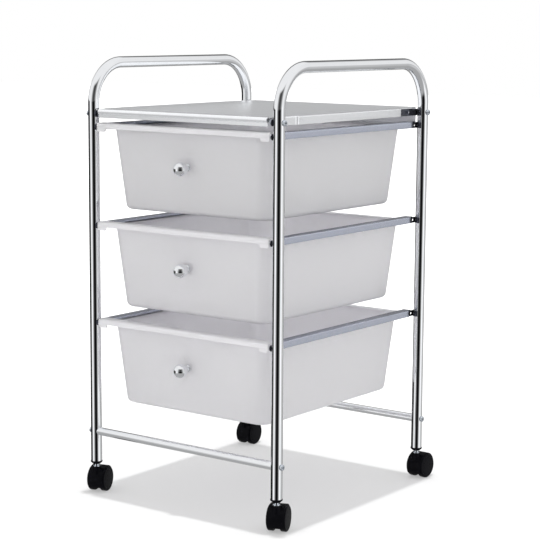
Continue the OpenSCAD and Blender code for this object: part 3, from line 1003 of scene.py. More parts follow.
@dataclass
class Lug:
    """Lug with a round end and a strip that hugs the leg from its inner side, at the back right leg."""

    layout: Layout
    # Outer face, start, centre of the round end, lower edge and height
    x: float
    start: float
    end: float
    low: float
    height: float
    # Y and diameter of each hole on the middle line
    holes: Sequence[Pair]
    sheet: float = 1.2
    edge: float = 0.15
    # The strip's clearance to the leg, the angle that it covers and the rounding of its edges
    gap: float = 0.05
    wrap: float = 105.0
    strip_edge: float = 0.2

    def mesh(self) -> Mesh:
        """Makes the lug and the strip.

        Returns:
            The mesh of both.
        """
        half = self.height / 2
        z = self.low + half
        steps = 24
        outline = [(self.start, z - half), *arc((self.end, z), half, -90, 90, 16), (self.start, z + half)]
        rings = [arc((y, z), d / 2, 360, 360 / steps, steps - 1) for y, d in self.holes]
        upright = Matrix(((0, 0, 1, self.x - self.sheet), (1, 0, 0, 0), (0, 1, 0, 0), (0, 0, 0, 1)))
        lug = plate([outline, *rings], self.sheet, self.edge, upright)
        leg, inner = (self.layout.leg_x, self.layout.leg_y), self.layout.tube_r + self.gap
        turn = 180 + self.wrap
        hug = arc(leg, inner, 180, turn, 14) + arc(leg, inner + self.sheet, turn, 180, 14)
        strip = extrude(hug, Axis.Z, self.low, self.low + self.height)
        return merged([lug, soften(strip, self.strip_edge)])


@dataclass
class Assembly:
    """Some of the cart's pieces that belong together, with their sizes in millimetres."""

    layout: Layout
    finishes: Mapping[Slot, Material]

    def put(
        self, name: str, mesh: Mesh, slot: Slot, body: str = "frame", material: Material | None = None
    ) -> None:
        """Puts a finished mesh in the scene as one piece of the cart.

        Args:
            name: The piece's name, which is also that of the node that it stands for.
            mesh: Its mesh in millimetres.
            slot: Its material slot in the record.
            body: The body that it rides on.
            material: Its finish, where that isn't the slot's usual one.
        """
        mesh = mesh.copy()
        mesh.name = name
        mesh.transform(Matrix.Scale(MM, 4))
        mesh.materials.clear()
        mesh.materials.append(material or self.finishes[slot])
        mesh.polygons.foreach_set("material_index", [0] * len(mesh.polygons))
        mesh.shade_smooth()
        mesh.set_sharp_from_angle(angle=math.radians(SHARP_FROM))
        piece = add_object(name, mesh)
        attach(piece, body)
        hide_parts(name)
        LOG.info("%s: %d faces on %s", name, len(mesh.polygons), body)

    def put_all(self, name: str, pattern: Mesh, places: Sequence[Matrix], slot: Slot) -> None:
        """Puts a small part at each of several places, all as one piece on the frame."""
        self.put(name, repeated(pattern, places, self.finishes[slot]), slot)

    def put_leg_screws(self, name: str, past_leg: float, z: float) -> None:
        """Puts a screw through each leg from its outer side.

        Args:
            name: Name of the four screws.
            past_leg: How far they reach past the leg.
            z: Their height.
        """
        place = self.layout
        screw = CrossScrew(2 * place.tube_r + past_leg).mesh()
        self.put_all(name, screw, place.at_legs(place.leg_x + place.tube_r, z), Slot.ZINC)


@dataclass
class SideTubes(Assembly):
    """The two bent side tubes with their plugs and caster stems."""

    bend_radius: float = 60.0
    wall: float = 1.25
    # Plug in each leg's lower end, with the roundings of its bore and of its other edges
    plug_bore: float = 3.55
    plug_tip: float = 5.75
    flange: float = 8.9
    flange_t: float = 2.2
    cone_h: float = 2.8
    # How far inside the flange's edge the cone below it begins
    cone_in: float = 0.5
    plug_top: float = 73.0
    bore_edge: float = 0.3
    plug_edge: float = 0.6
    # Caster stem, with the chamfer of its lower end and the cone at its upper one
    stem_r: float = 3.5
    stem_ends: Pair = (16.0, 70.0)
    stem_edge: float = 0.5
    stem_cone: Pair = (0.6, 1.0)
    collar_r: float = 5.25
    collar_ends: Pair = (40.66, 41.86)
    collar_edge: float = 0.3

    def tube(self, side: Side) -> Mesh:
        """Sweeps one side tube along its four corners.

        Args:
            side: The side of the cart.

        Returns:
            The mesh.
        """
        place = self.layout
        x, y, low, high = side.sign * place.leg_x, place.leg_y, place.leg_end_z, place.top_z - place.tube_r
        path = bpy.data.meshes.new("path")
        corners = [(x, -y, low), (x, -y, high), (x, y, high), (x, y, low)]
        path.from_pydata(corners, [(0, 1), (1, 2), (2, 3)], [])
        sizes = {"Bend Radius": self.bend_radius, "Tube Radius": place.tube_r}
        return run_tree(bent_tube_tree(self.finishes[Slot.TUBE]), path, sizes)

    def plug(self) -> Mesh:
        """Makes one leg plug, with its flange below the tube's end.

        Returns:
            The mesh, round a leg's centre line.
        """
        end = self.layout.leg_end_z
        low, tip = end - self.flange_t, end - self.flange_t - self.cone_h
        inner, edge = self.layout.tube_r - self.wall, self.plug_edge
        loop = [(self.plug_bore, tip, self.bore_edge), (self.plug_tip, tip, edge)]
        loop += [(self.flange - self.cone_in, low, 0), (self.flange, low, edge)]
        loop += [(self.flange, end, edge), (inner, end, 0)]
        loop += [(inner, self.plug_top, edge), (self.plug_bore, self.plug_top, self.bore_edge)]
        return lathe(fillet(loop, closed=True, steps=3), ring=True)

    def stem(self) -> Mesh:
        """Makes one caster stem with its collar.

        Returns:
            The mesh, round a caster's swivel axis.
        """
        r, (low, high), (under, over) = self.stem_r, self.stem_ends, self.collar_ends
        edge, out, soft, (inset, cone_h) = self.stem_edge, self.collar_r, self.collar_edge, self.stem_cone
        profile = [(0, low), (r - edge, low), (r, low + edge), (r, under)]
        profile += fillet([(r, under, 0), (out, under, soft), (out, over, soft), (r, over, 0)])
        profile += [(r, high - cone_h), (r - inset, high), (0, high)]
        return lathe(profile, sides=48)

    def build(self) -> None:
        """Makes the tubes, plugs and stems."""
        for side in Side:
            self.put(f"{side.value}_side_tube", self.tube(side), Slot.TUBE)
        place = self.layout
        legs = [Matrix.Translation((sx * place.leg_x, sy * place.leg_y, 0)) for sx, sy in LEGS]
        self.put_all("leg_plugs", self.plug(), legs, Slot.NYLON)
        self.put_all("caster_stems", self.stem(), legs, Slot.ZINC)


@dataclass
class LowerRails(Assembly):
    """The two thin rails between the legs, low down."""

    # Clearance between a rail's coped end and the leg, and reach of the cutters above and below the rail
    cope_gap: float = 0.05
    cope_reach: float = 20.0

    def rail(self, y: float) -> Mesh:
        """Makes one rail whose ends are coped to the legs.

        Args:
            y: The rail's place from front to back.

        Returns:
            The mesh.
        """
        place = self.layout
        x, z = place.leg_x, place.rail_z
        bar = rod(place.rail_r, -x, x, along_x(0, y, z))
        size = (place.tube_r + self.cope_gap, z - self.cope_reach, z + self.cope_reach)
        return combine(bar, cut=[rod(*size, Matrix.Translation((s * x, y, 0)), sides=96) for s in (-1, 1)])

    def build(self) -> None:
        """Makes both rails; their plugs stay as packed, because the rails hide them."""
        for name, sign in (("front_lower_rail", -1), ("back_lower_rail", 1)):
            self.put(name, self.rail(sign * self.layout.leg_y), Slot.TUBE)
        for slot in frame["nodes"]["rail_plugs"].material_slots:
            slot.material = self.finishes[Slot.ZINC]


@dataclass
class Shelf(Assembly):
    """The sheet shelf: a flat top with skirts, a rolled front bead with an apron, and four lugs."""

    sheet: float = 1.2
    skirt_h: float = 12.4
    back_skirt_h: float = 28.0
    bend: float = 2.0
    skirt_x: float = 165.0
    lug_x: float = 162.2
    # Half length of the side skirts' straight part, and length of the step inwards at each of its ends
    skirt_y: float = 131.0
    joggle: float = 6.0
    # Half width of the top between the legs, where the step to it begins, and how far that slopes
    notch_x: float = 155.0
    notch_y: float = 169.25
    notch_slope: float = 6.0
    back_y: float = 190.0
    # Where the flat top meets the bend of the back skirt
    back_bend_y: float = 187.0
    bead_y: float = -190.0
    bead_r: float = 4.0
    bead_bore: float = 2.8
    bead_edge: float = 0.3
    apron_face: float = -191.2
    apron_drop: float = 0.6
    apron_edge: float = 0.5
    # How far below the bead's middle the apron begins
    apron_start: float = 1.0
    lug_h: float = 10.0
    lug_end: float = 188.0
    # Places along Y and diameters of the small holes in each side skirt and of the spare hole in each lug,
    # diameter of the lugs' screw holes, and ends along X of the pins that drill the small and the spare holes
    skirt_holes: tuple[Pair, ...] = ((-126.0, 2.2), (101.0, 2.2))
    spare_hole: Pair = (159.0, 4.0)
    screw_hole_d: float = 5.3
    drill: Pair = (158.0, 168.0)
    nut_flats: float = 8.0
    nut_t: float = 4.0
    nut_bore: float = 2.55
    # Chamfer of the nut's corners, as a share of its radius and in height, and chamfer of its bore
    nut_chamfer: Pair = (0.93, 0.4)
    nut_bore_edge: float = 0.3
    # Clearance between leg and lug, and how far the screws reach past their nuts
    leg_gap: float = 0.05
    screw_past_nut: float = 1.5
    # How far below the top the painted shade on the lugs begins, and how far behind the back legs the dots
    # end
    painted_shade_drop: float = 1.4
    dots_past: float = 2.0

    @property
    def low(self) -> float:
        """Height of the skirts' lower edge."""
        return self.layout.shelf_z - self.skirt_h

    @property
    def lug_z(self) -> float:
        """Height of the lugs' middle line."""
        return self.low + self.lug_h / 2

    def finish(self) -> Material:
        """Makes the shelf's own finish.

        Returns:
            The material.
        """
        top, edge = self.layout.shelf_z, self.layout.leg_y
        return EmbossedChromePlate(
            "Chrome plate on embossed steel sheet",
            relief=(1 / 0.06, 1.0),
            roughness=(0.07, 0.13),
            mirror=0.76,
            # Painted shade on the shelf's lugs, for shade and the dark reflection of the legs
            painted_shade_from=(0.164, 0.1345),
            painted_shade_top=(top - self.painted_shade_drop) * MM,
            top=top * MM,
            ends=(-edge * MM, (edge + self.dots_past) * MM),
        ).material()

    def section(self, half: float, y: float) -> Ring:
        """Makes the section of the top and its two skirts.

        Args:
            half: Half of the width over the skirts.
            y: Place of the section.

        Returns:
            The section's points.
        """
        top, low, bend = self.layout.shelf_z, self.low, self.bend
        face = fillet([(-half, low, 0), (-half, top, bend), (half, top, bend), (half, low, 0)])
        return across(ribbon(face, self.sheet), Axis.Y, y)

    def folded_top(self) -> Mesh:
        """Makes the middle of the top with both skirts, stepped inwards at the ends, and their holes.

        Returns:
            The mesh.
        """
        step = [(self.skirt_y + t * self.joggle, half) for t, half in s_curve(self.skirt_x, self.lug_x, 10)]
        ends = step + [(self.notch_y, self.lug_x)]
        stations = [(-y, half) for y, half in ends[::-1]] + ends
        body = loft([self.section(half, y) for y, half in stations])
        middle = self.layout.shelf_z - self.skirt_h / 2
        holes = [(y, middle, diameter) for y, diameter in self.skirt_holes]
        spare_y, spare_d = self.spare_hole
        holes += [(end * spare_y, self.lug_z, spare_d) for end in (-1, 1)]
        pins = [
            rod(diameter / 2, *self.drill, along_x(0, y, z, sign), sides=24)
            for y, z, diameter in holes
            for sign in (-1, 1)
        ]
        return combine(body, cut=pins)

    def end_plate(self, sign: int, reach: float) -> Mesh:
        """Makes the flat top beyond the front legs or the back ones.

        Args:
            sign: -1 for the front and 1 for the back.
            reach: How far the plate reaches from the middle.

        Returns:
            The mesh.
        """
        wide, narrow, start = self.lug_x, self.notch_x, self.notch_y
        half = [(wide, start), (narrow, start + self.notch_slope), (narrow, reach)]
        outline = [(x, sign * y) for x, y in half] + [(-x, sign * y) for x, y in half[::-1]]
        return extrude(outline, Axis.Z, self.layout.shelf_z - self.sheet, self.layout.shelf_z)

    def bead(self) -> Mesh:
        """Makes the rolled front bead, with its open ends.

        Returns:
            The mesh.
        """
        end, r, bore, edge = self.notch_x, self.bead_r, self.bead_bore, self.bead_edge
        loop = [(bore, -end), (r - edge, -end), (r, edge - end)]
        loop += [(r, end - edge), (r - edge, end), (bore, end)]
        return lathe(loop, along_x(0, self.bead_y, self.layout.shelf_z - r), sides=56, ring=True)

    def apron(self) -> Mesh:
        """Makes the apron that hangs below the bead.

        Returns:
            The mesh.
        """
        front, back, low = self.apron_face, self.apron_face + self.sheet, self.low - self.apron_drop
        high, edge = self.layout.shelf_z - self.bead_r - self.apron_start, self.apron_edge
        corners = [(front, low, edge), (front, high, 0), (back, high, 0), (back, low, edge)]
        return extrude(fillet(corners, closed=True, steps=4), Axis.X, -self.notch_x, self.notch_x)

    def back_skirt(self) -> Mesh:
        """Makes the skirt bent down along the back.

        Returns:
            The mesh.
        """
        top, y = self.layout.shelf_z, self.back_y
        face = fillet([(self.back_bend_y, top, 0), (y, top, self.bend), (y, top - self.back_skirt_h, 0)])
        return extrude(ribbon(face, self.sheet), Axis.X, -self.notch_x, self.notch_x)

    def nut(self) -> Mesh:
        """Makes a nut that stands on local Z 0.

        Returns:
            The mesh.
        """
        side = self.nut_flats / 2 / math.cos(math.pi / 6)
        top, bore, (share, chamfer) = self.nut_t, self.nut_bore, self.nut_chamfer
        loop = [(bore, 0), (side * share, 0), (side, chamfer), (side, top - chamfer), (side * share, top)]
        loop += [(bore + self.nut_bore_edge, top), (bore, top - self.nut_bore_edge)]
        return lathe(loop, sides=6, ring=True)

    def build(self) -> None:
        """Makes the shelf, the screws through the legs and their nuts."""
        place, z = self.layout, self.lug_z
        hole = (place.leg_y, self.screw_hole_d)
        corner = Lug(place, self.lug_x, self.notch_y, self.lug_end, self.low, self.lug_h, [hole]).mesh()
        parts = [self.folded_top(), self.end_plate(-1, -self.bead_y), self.end_plate(1, self.back_bend_y)]
        parts += [self.bead(), self.apron(), self.back_skirt()]
        parts += [moved(corner, Matrix.Diagonal((sx, sy, 1, 1))) for sx, sy in LEGS]
        self.put("top_shelf", merged(parts), Slot.SHEET, material=self.finish())
        self.put_leg_screws("shelf_screws", self.leg_gap + self.sheet + self.nut_t + self.screw_past_nut, z)
        self.put_all("shelf_nuts", self.nut(), place.at_legs(self.lug_x - self.sheet, z, -1), Slot.ZINC)


@dataclass
class RailScrews(Assembly):
    """The four screws through the legs into the lower rails."""

    past_leg: float = 16.0

    def build(self) -> None:
        """Makes the screws."""
        self.put_leg_screws("rail_screws", self.past_leg, self.layout.rail_z)


@dataclass
class Runners(Assembly):
    """The three pairs of sheet channels that carry the drawers, and the rivets that hold them."""

    sheet: float = 1.2
    height: float = 10.0
    bend: float = 1.3
    lip_x: float = 148.2
    lip_h: float = 3.2
    web_x: float = 164.2
    foot_x: float = 152.2
    lug_x: float = 162.2
    web_y: float = 164.5
    joggle: float = 6.0
    flange_y: float = 174.5
    lug_h: float = 9.0
    lug_end: float = 188.0
    lug_hole: Pair = (176.0, 4.0)
    rivet_hole_d: float = 4.3
    rivet_r: float = 2.0
    # Diameter and height of the rivets' head and tail, the upright edge of the head, the chamfer of the tail,
    # and where the tail begins
    rivet_head: Pair = (7.0, 1.1)
    rivet_tail: Pair = (5.4, 2.0)
    rivet_edge: float = 0.25
    tail_edge: float = 0.5
    tail_z: float = -3.5
    # Radii of the dimple in the head, above and below, and the dome's steps in radians
    dimple: Pair = (0.9, 0.7)
    dome: Triple = (0.35, 0.7, 1.05)

    def section(self, web: float, y: float, foot: bool) -> Ring:
        """Makes the channel's section, with its upper face at Z 0.

        Args:
            web: X of the web's outer face.
            y: Place of the section.
            foot: Whether it has the lower flange.

        Returns:
            The section's points.
        """
        low = -self.height
        corners = [(self.lip_x, -self.lip_h, 0), (self.lip_x, 0, self.bend), (web, 0, self.bend)]
        corners += [(web, low, self.bend), (self.foot_x, low, 0)] if foot else [(web, low, 0)]
        return across(ribbon(fillet(corners, steps=5), self.sheet), Axis.Y, y)

    def end(self) -> Mesh:
        """Makes the stepped end, its lug and its strip, at the back, with the upper face at Z 0.

        Returns:
            The mesh.
        """
        step = [(self.web_y + t * self.joggle, web) for t, web in s_curve(self.web_x, self.lug_x, 8)]
        start = step[-1][0]
        slope = loft([self.section(web, y, False) for y, web in step])
        face = fillet([(self.lip_x, -self.lip_h, 0), (self.lip_x, 0, self.bend), (self.lug_x, 0, 0)], steps=5)
        flange = extrude(ribbon(face, self.sheet), Axis.Y, start, self.flange_y)
        holes = [self.lug_hole, (self.layout.leg_y, self.rivet_hole_d)]
        lug = Lug(self.layout, self.lug_x, start, self.lug_end, -self.height, self.lug_h, holes).mesh()
        return merged([slope, flange, lug])

    def runner(self) -> Mesh:
        """Makes a right-hand runner with its upper face at Z 0.

        Returns:
            The mesh.
        """
        channel = loft([self.section(self.web_x, y, True) for y in (-self.web_y, self.web_y)])
        end = self.end()
        return merged([channel, end, moved(end, Matrix.Diagonal((1, -1, 1, 1)))])

    def rivet(self) -> Mesh:
        """Makes a blind rivet whose domed head points along local Z, with its seat at Z 0.

        Returns:
            The mesh.
        """
        (head_d, top), (tail_d, tail_t), edge = self.rivet_head, self.rivet_tail, self.rivet_edge
        wide, narrow = self.dimple
        radius, head, tail, high = self.rivet_r, head_d / 2, tail_d / 2, self.tail_z
        low = high - tail_t
        profile = [(0, low), (tail - self.tail_edge, low), (tail, low + self.tail_edge), (tail, high)]
        profile += [(radius, high), (radius, 0), (head, 0), (head, edge)]
        profile += [(head * math.cos(a), edge + (top - edge) * math.sin(a)) for a in self.dome]
        profile += [(wide, top), (narrow, top - edge), (0, top - edge)]
        return lathe(profile, sides=36)

    def build(self) -> None:
        """Makes the six runners and the twelve rivets."""
        right = self.runner()
        rivets = []
        for level in Level:
            top = self.layout.runner_tops[level]
            for side in Side:
                place = Matrix.Translation((0, 0, top)) @ Matrix.Diagonal((side.sign, 1, 1, 1))
                self.put(f"runner_{side.value}_{level.value}", moved(right, place), Slot.SHEET)
            z = top + self.lug_h / 2 - self.height
            rivets += self.layout.at_legs(self.lug_x - self.sheet, z, -1)
        self.put_all("runner_rivets", self.rivet(), rivets, Slot.ZINC)


def rounded_square(low: Pair, high: Pair, z: float, front_r: float, back_r: float) -> Ring:
    """Ring of points round a rectangle with rounded corners.

    Args:
        low: Lowest X and Y.
        high: Highest X and Y.
        z: Height of the ring.
        front_r: Radius of the two corners at the lowest Y.
        back_r: Radius of the other two.

    Returns:
        The points, equally many for every ring.
    """
    (x0, y0), (x1, y1) = low, high
    outline = []
    corners = ((x1, y0, front_r), (x1, y1, back_r), (x0, y1, back_r), (x0, y0, front_r))
    for k, (x, y, r) in enumerate(corners):
        centre = (x + (r if x == x0 else -r), y + (r if y == y0 else -r))
        outline += arc(centre, r, 90 * k - 90, 90 * k, 12)
    return across(outline, Axis.Z, z)


@dataclass
class Drawers(Assembly):
    """The three frosted drawers, with their chromed knobs and the screws that hold them."""

    rim_half: float = 158.8
    front_y: float = -192.0
    back_y: float = 185.0
    overhang: float = 14.0
    rim_drop: float = 6.4
    rim_t: float = 3.2
    # Radius of the rim's corners at the front, behind the bar, and at the back
    rim_corners: Pair = (1.5, 12.0)
    bar_h: float = 8.0
    bar_t: float = 2.5
    bin_h: float = 127.5
    wall: float = 2.0
    taper: float = 11.3
    corner: float = 20.0
    base_r: float = 7.0
    tab_w: float = 16.0
    tab_drop: float = 5.0
    # How far the tabs reach up into the bar
    tab_in: float = 1.5
    # Rounding of the bin's lip, of the rim, of the bar's front edge and of the bar's other edges
    lip_round: float = 0.7
    rim_round: float = 0.8
    bar_round: float = 3.0
    bar_edge: float = 0.4
    # How far the bar's ends stand inside the rim's, and the tabs inside the bar
    bar_in: float = 0.05
    # Bar's back wall: how far it reaches below the rim's drop, and how far its top stays down
    back_wall: Pair = (1.0, 0.5)
    # Bar's end walls: how far they stay behind its face, and how far their tops stay down
    end_wall: Pair = (1.0, 0.6)
    # How far those walls reach into the sheet that they close
    lap: float = 0.1
    knob_drop: float = 58.0
    ball_r: float = 10.5
    neck_r: float = 4.0
    reach: float = 17.5
    base_ends: Pair = (5.6, 5.0)
    knob_base_t: float = 2.4
    # Roundings of the base's lower and upper edge and of the neck's root
    base_rounds: Triple = (0.2, 0.6, 0.4)
    bore: Pair = (2.05, 10.0)
    # Radius of the hole in the wall and reach of its cutter to both sides
    wall_hole: Triple = (2.2, -6.0, 3.0)
    screw: CrossScrew = CrossScrew(11.0, diameter=4.0, head_d=8.0, head_h=2.6, thread_pitch=0.7)
    screw_gap: float = 0.05

    @property
    def wall_h(self) -> float:
        """Height of the bin's walls."""
        return self.bin_h - self.rim_drop

    @property
    def knob_place(self) -> Matrix:
        """Place of a knob's base on the front wall; local Z points away from the wall.

        Returns:
            The place, below the rim's upper face at Z 0.
        """
        inset = self.taper * (self.knob_drop - self.rim_drop) / self.wall_h
        spot = Matrix.Translation((0, self.front_y + self.overhang + inset, -self.knob_drop))
        lean = math.degrees(math.atan(self.taper / self.wall_h))
        return spot @ Matrix.Rotation(math.radians(90 + lean), 4, "X")

    def wall_ring(self, z: float, shrink: float) -> Ring:
        """Makes a ring of the bin's outer face.

        Args:
            z: Height, from the rim's upper face.
            shrink: How far the ring is drawn in from that face.

        Returns:
            The ring.
        """
        inset = self.taper * (-self.rim_drop - z) / self.wall_h + shrink
        half, front = self.rim_half - self.overhang - inset, self.front_y + self.overhang + inset
        back, corner = self.back_y - self.overhang - inset, self.corner - shrink
        return rounded_square((-half, front), (half, back), z, corner, corner)

    def rim_ring(self, z: float, shrink: float) -> Ring:
        """Makes a ring of the rim's edge.

        Args:
            z: Height, from the rim's upper face.
            shrink: How far the ring is drawn in from the edge.

        Returns:
            The ring.
        """
        half, front = self.rim_half - shrink, self.front_y + self.overhang - self.bar_t + shrink
        near, far = self.rim_corners
        return rounded_square((-half, front), (half, self.back_y - shrink), z, near, far - shrink)

    def shell(self) -> Mesh:
        """Makes the bin and the flange round it, from its inner floor over the rim to its underside.

        Returns:
            The mesh.
        """
        low, top, wall = -self.bin_h, -self.rim_drop, self.wall
        under = top - self.rim_t
        lip, brim = quarter(self.lip_round, 4), quarter(self.rim_round, 4)
        rings = [self.wall_ring(low + wall + u, wall + v) for u, v in quarter(self.base_r - wall, 8)]
        rings += [self.wall_ring(top - v, wall - u) for u, v in lip]
        rings += [self.rim_ring(top - u, v) for u, v in brim]
        rings += [self.rim_ring(under + v, u) for u, v in brim]
        rings += [self.wall_ring(under - u, -v) for u, v in lip]
        rings += [self.wall_ring(low + u, v) for u, v in quarter(self.base_r, 8)[::-1]]
        return loft(rings)

    def bar(self) -> Mesh:
        """Makes the hollow bar along the front, with its end faces and its rounded tabs.

        Returns:
            The mesh.
        """
        half, front, low, t = self.rim_half - self.bar_in, self.front_y, -self.bar_h, self.bar_t
        inner, lap = front + self.overhang, self.lap
        (past, down), (behind, lower) = self.back_wall, self.end_wall
        face = fillet([(front, low, 0), (front, 0, self.bar_round), (inner + t, 0, 0)], steps=8)
        shell = extrude(ribbon(face, t), Axis.X, -half, half)
        wide = half - self.overhang - self.corner / 2
        parts = [block((-wide, inner - lap, -self.rim_drop - past), (wide, inner + t - lap, -down))]
        for sign in (-1, 1):
            near, far = sorted((sign * (half - lap), sign * (half - t)))
            end = block((near, front + behind, low + lap), (far, inner + t - 2 * lap, -lower))
            parts += [end, self.tab(sign)]
        return soften(combine(shell, join=parts), self.bar_edge)

    def tab(self, sign: int) -> Mesh:
        """Makes one tab that hangs below the front bar.

        Args:
            sign: -1 for the left one and 1 for the right one.

        Returns:
            The mesh.
        """
        low, top, r, inset = -self.bar_h - self.tab_drop, self.tab_in - self.bar_h, self.tab_drop, self.bar_in
        near, far = sign * (self.rim_half - self.tab_w), sign * (self.rim_half - 2 * inset)
        outline = fillet([(near, top, 0), (near, low, r), (far, low, r), (far, top, 0)], steps=8)
        return extrude(outline, Axis.Y, self.front_y + inset, self.front_y + self.bar_t - inset)

    def body(self) -> Mesh:
        """Makes a whole drawer with the rim's upper face at Z 0."""
        hole = rod(*self.wall_hole, self.knob_place, sides=32)
        return merged([combine(self.shell(), cut=[hole]), self.bar()])

    def knob(self) -> Mesh:
        """Makes a knob with its bore.

        Returns:
            The mesh.
        """
        (wide, narrow), (bore_r, bore_h), base_t = self.base_ends, self.bore, self.knob_base_t
        neck, ball, middle, (under, over, root) = self.neck_r, self.ball_r, self.reach, self.base_rounds
        profile = [(0, bore_h), (bore_r, bore_h), (bore_r, 0)]
        foot = [(bore_r, 0, 0), (wide, 0, under), (narrow, base_t, over), (neck, base_t, root)]
        profile += fillet([*foot, (neck, middle - ball, 0)])
        start = math.degrees(math.asin(-math.sqrt(1 - (neck / ball) ** 2)))
        profile += arc((0, middle), ball, start, 90, 40)[:-1] + [(0, middle + ball)]
        return lathe(profile, self.knob_place, sides=96)

    def build(self) -> None:
        """Makes the drawers, knobs and knob screws."""
        behind = Matrix.Translation((0, 0, -self.wall - self.screw_gap)) @ Matrix.Rotation(math.pi, 4, "X")
        kit = (
            ("drawer", self.body(), Slot.FROSTED),
            ("knob", self.knob(), Slot.KNOB),
            ("knob_screw", moved(self.screw.mesh(), self.knob_place @ behind), Slot.ZINC),
        )
        for level in Level:
            lift = Matrix.Translation((0, 0, self.layout.rim_tops[level]))
            for name, mesh, slot in kit:
                self.put(f"{name}_{level.value}", moved(mesh, lift), slot, f"{level.value}_drawer")


@dataclass
class Casters(Assembly):
    """The four twin-wheel casters, each with a hood, an axle and two wheels."""

    wheel_r: float = 19.0
    trail: float = 12.5
    # Wheel: inner face, width, thickness and rounding of the tread, depth of the hollow inner side, bore, hub
    # and end of the bore
    near: float = 5.2
    width: float = 9.0
    tread: float = 3.5
    tread_round: float = 1.6
    hollow: float = 2.0
    bore_r: float = 2.56
    hub_r: float = 5.0
    bore_end: float = 12.9
    # Groove round the cap on the outer face, and height of the cap's dome
    ring_r: float = 14.2
    ring_depth: float = 0.4
    dome: float = 0.4
    # Hood: drum, web between the wheels, wells for the wheels, lower edge and roundings
    hood_r: float = 20.6
    hood_half: float = 12.2
    hood_round: float = 1.0
    hood_soft: float = 0.25
    web_half: float = 4.8
    well_r: float = 19.4
    hood_edge: float = 7.5
    # Boss round the stem, and how far its cut faces lie sunk in the drum
    boss_r: float = 6.2
    boss_ends: Pair = (19.5, 40.6)
    boss_round: float = 0.6
    boss_sunk: float = 0.3
    stem_bore: Pair = (3.56, 15.0)
    axle_r: float = 2.5
    axle_half: float = 12.6
    axle_edge: float = 0.4
    axle_gap: float = 0.05
    # Corners of the box that is cut away below the hood, and ends of the cutters beside the boss, in the
    # stem's bore and along the axle
    under: tuple[Triple, Pair] = ((-31.0, -41.0, -11.0), (30.0, 61.0))
    room_end: float = 40.0
    bore_end_z: float = 60.0
    hole_end: float = 30.0

    @property
    def axis(self) -> Matrix:
        """Place of the axle in a caster's own frame; local Z points along the axle."""
        return along_x(0, self.trail, self.wheel_r)

    def hood(self) -> Mesh:
        """Makes the hood in its own frame, with the swivel axis at the origin.

        Returns:
            The mesh.
        """
        half, r, web, well, soft = self.hood_half, self.hood_r, self.web_half, self.well_r, self.hood_round
        rim = fillet([(well, -half, 0), (r, -half, soft), (r, half, soft), (well, half, 0)])
        drum = lathe([(0, -web), (well, -web), *rim, (well, web), (0, web)], self.axis, sides=144)
        (low, top), sunk = self.boss_ends, self.boss_sunk
        edge = fillet([(self.boss_r, low, 0), (self.boss_r, top, self.boss_round), (1, top, 0)])
        rooms = [(-self.room_end, sunk - web), (web - sunk, self.room_end)]
        cleared = [rod(well + sunk, *ends, self.axis, sides=100) for ends in rooms]
        boss = combine(lathe([(0, low), *edge, (0, top)]), cut=cleared)
        corner, opposite = self.under
        below = block(corner, (*opposite, self.hood_edge))
        bore = rod(*self.stem_bore, self.bore_end_z, sides=48)
        hole = rod(self.axle_r + self.axle_gap, -self.hole_end, self.hole_end, self.axis, sides=40)
        return soften(combine(drum, join=[boss], cut=[below, bore, hole]), self.hood_soft)

    def wheel(self) -> list[Pair]:
        """Profile of a wheel about local Z, whose outer face points along it.

        Returns:
            The profile's points as radius and height.
        """
        near, far, r, soft = self.near, self.near + self.width, self.wheel_r, self.tread_round
        inner_r, deep, ring_r, groove = r - self.tread, near + self.hollow, self.ring_r, self.ring_depth
        loop = [(0, self.bore_end), (self.bore_r, self.bore_end), (self.bore_r, near), (self.hub_r, near)]
        loop += [(self.hub_r, deep), (inner_r, deep)]
        edge = [(inner_r, near, 0), (r, near, soft), (r, far, 2 * soft), (ring_r + groove, far, 0)]
        loop += [*fillet(edge, steps=8), (ring_r, far - groove)]
        shares = [1 - k / 8 for k in range(9)]
        return loop + [((ring_r - groove) * t, far + self.dome * (1 - t * t)) for t in shares]

    def axle(self) -> Mesh:
        """Makes the axle in a caster's own frame.

        Returns:
            The mesh.
        """
        half, r, edge = self.axle_half, self.axle_r, self.axle_edge
        profile = [(0, -half), (r - edge, -half), (r, edge - half)]
        profile += [(r, half - edge), (r - edge, half), (0, half)]
        return lathe(profile, self.axis, sides=40)

    def build(self) -> None:
        """Makes the four casters."""
        profile, hood, axle = self.wheel(), self.hood(), self.axle()
        for corner, place in self.layout.casters.items():
            key = corner.value
            self.put(f"hood_{key}", moved(hood, place), Slot.NYLON, f"caster_{key}")
            self.put(f"axle_{key}", moved(axle, place), Slot.ZINC, f"caster_{key}")
            for side, sign in (("outer", corner.sign), ("inner", -corner.sign)):
                wheel = lathe(profile, place @ along_x(0, self.trail, self.wheel_r, sign), sides=120)
                self.put(f"wheel_{key}_{side}", wheel, Slot.TREAD, f"{key}_{side}_wheel")


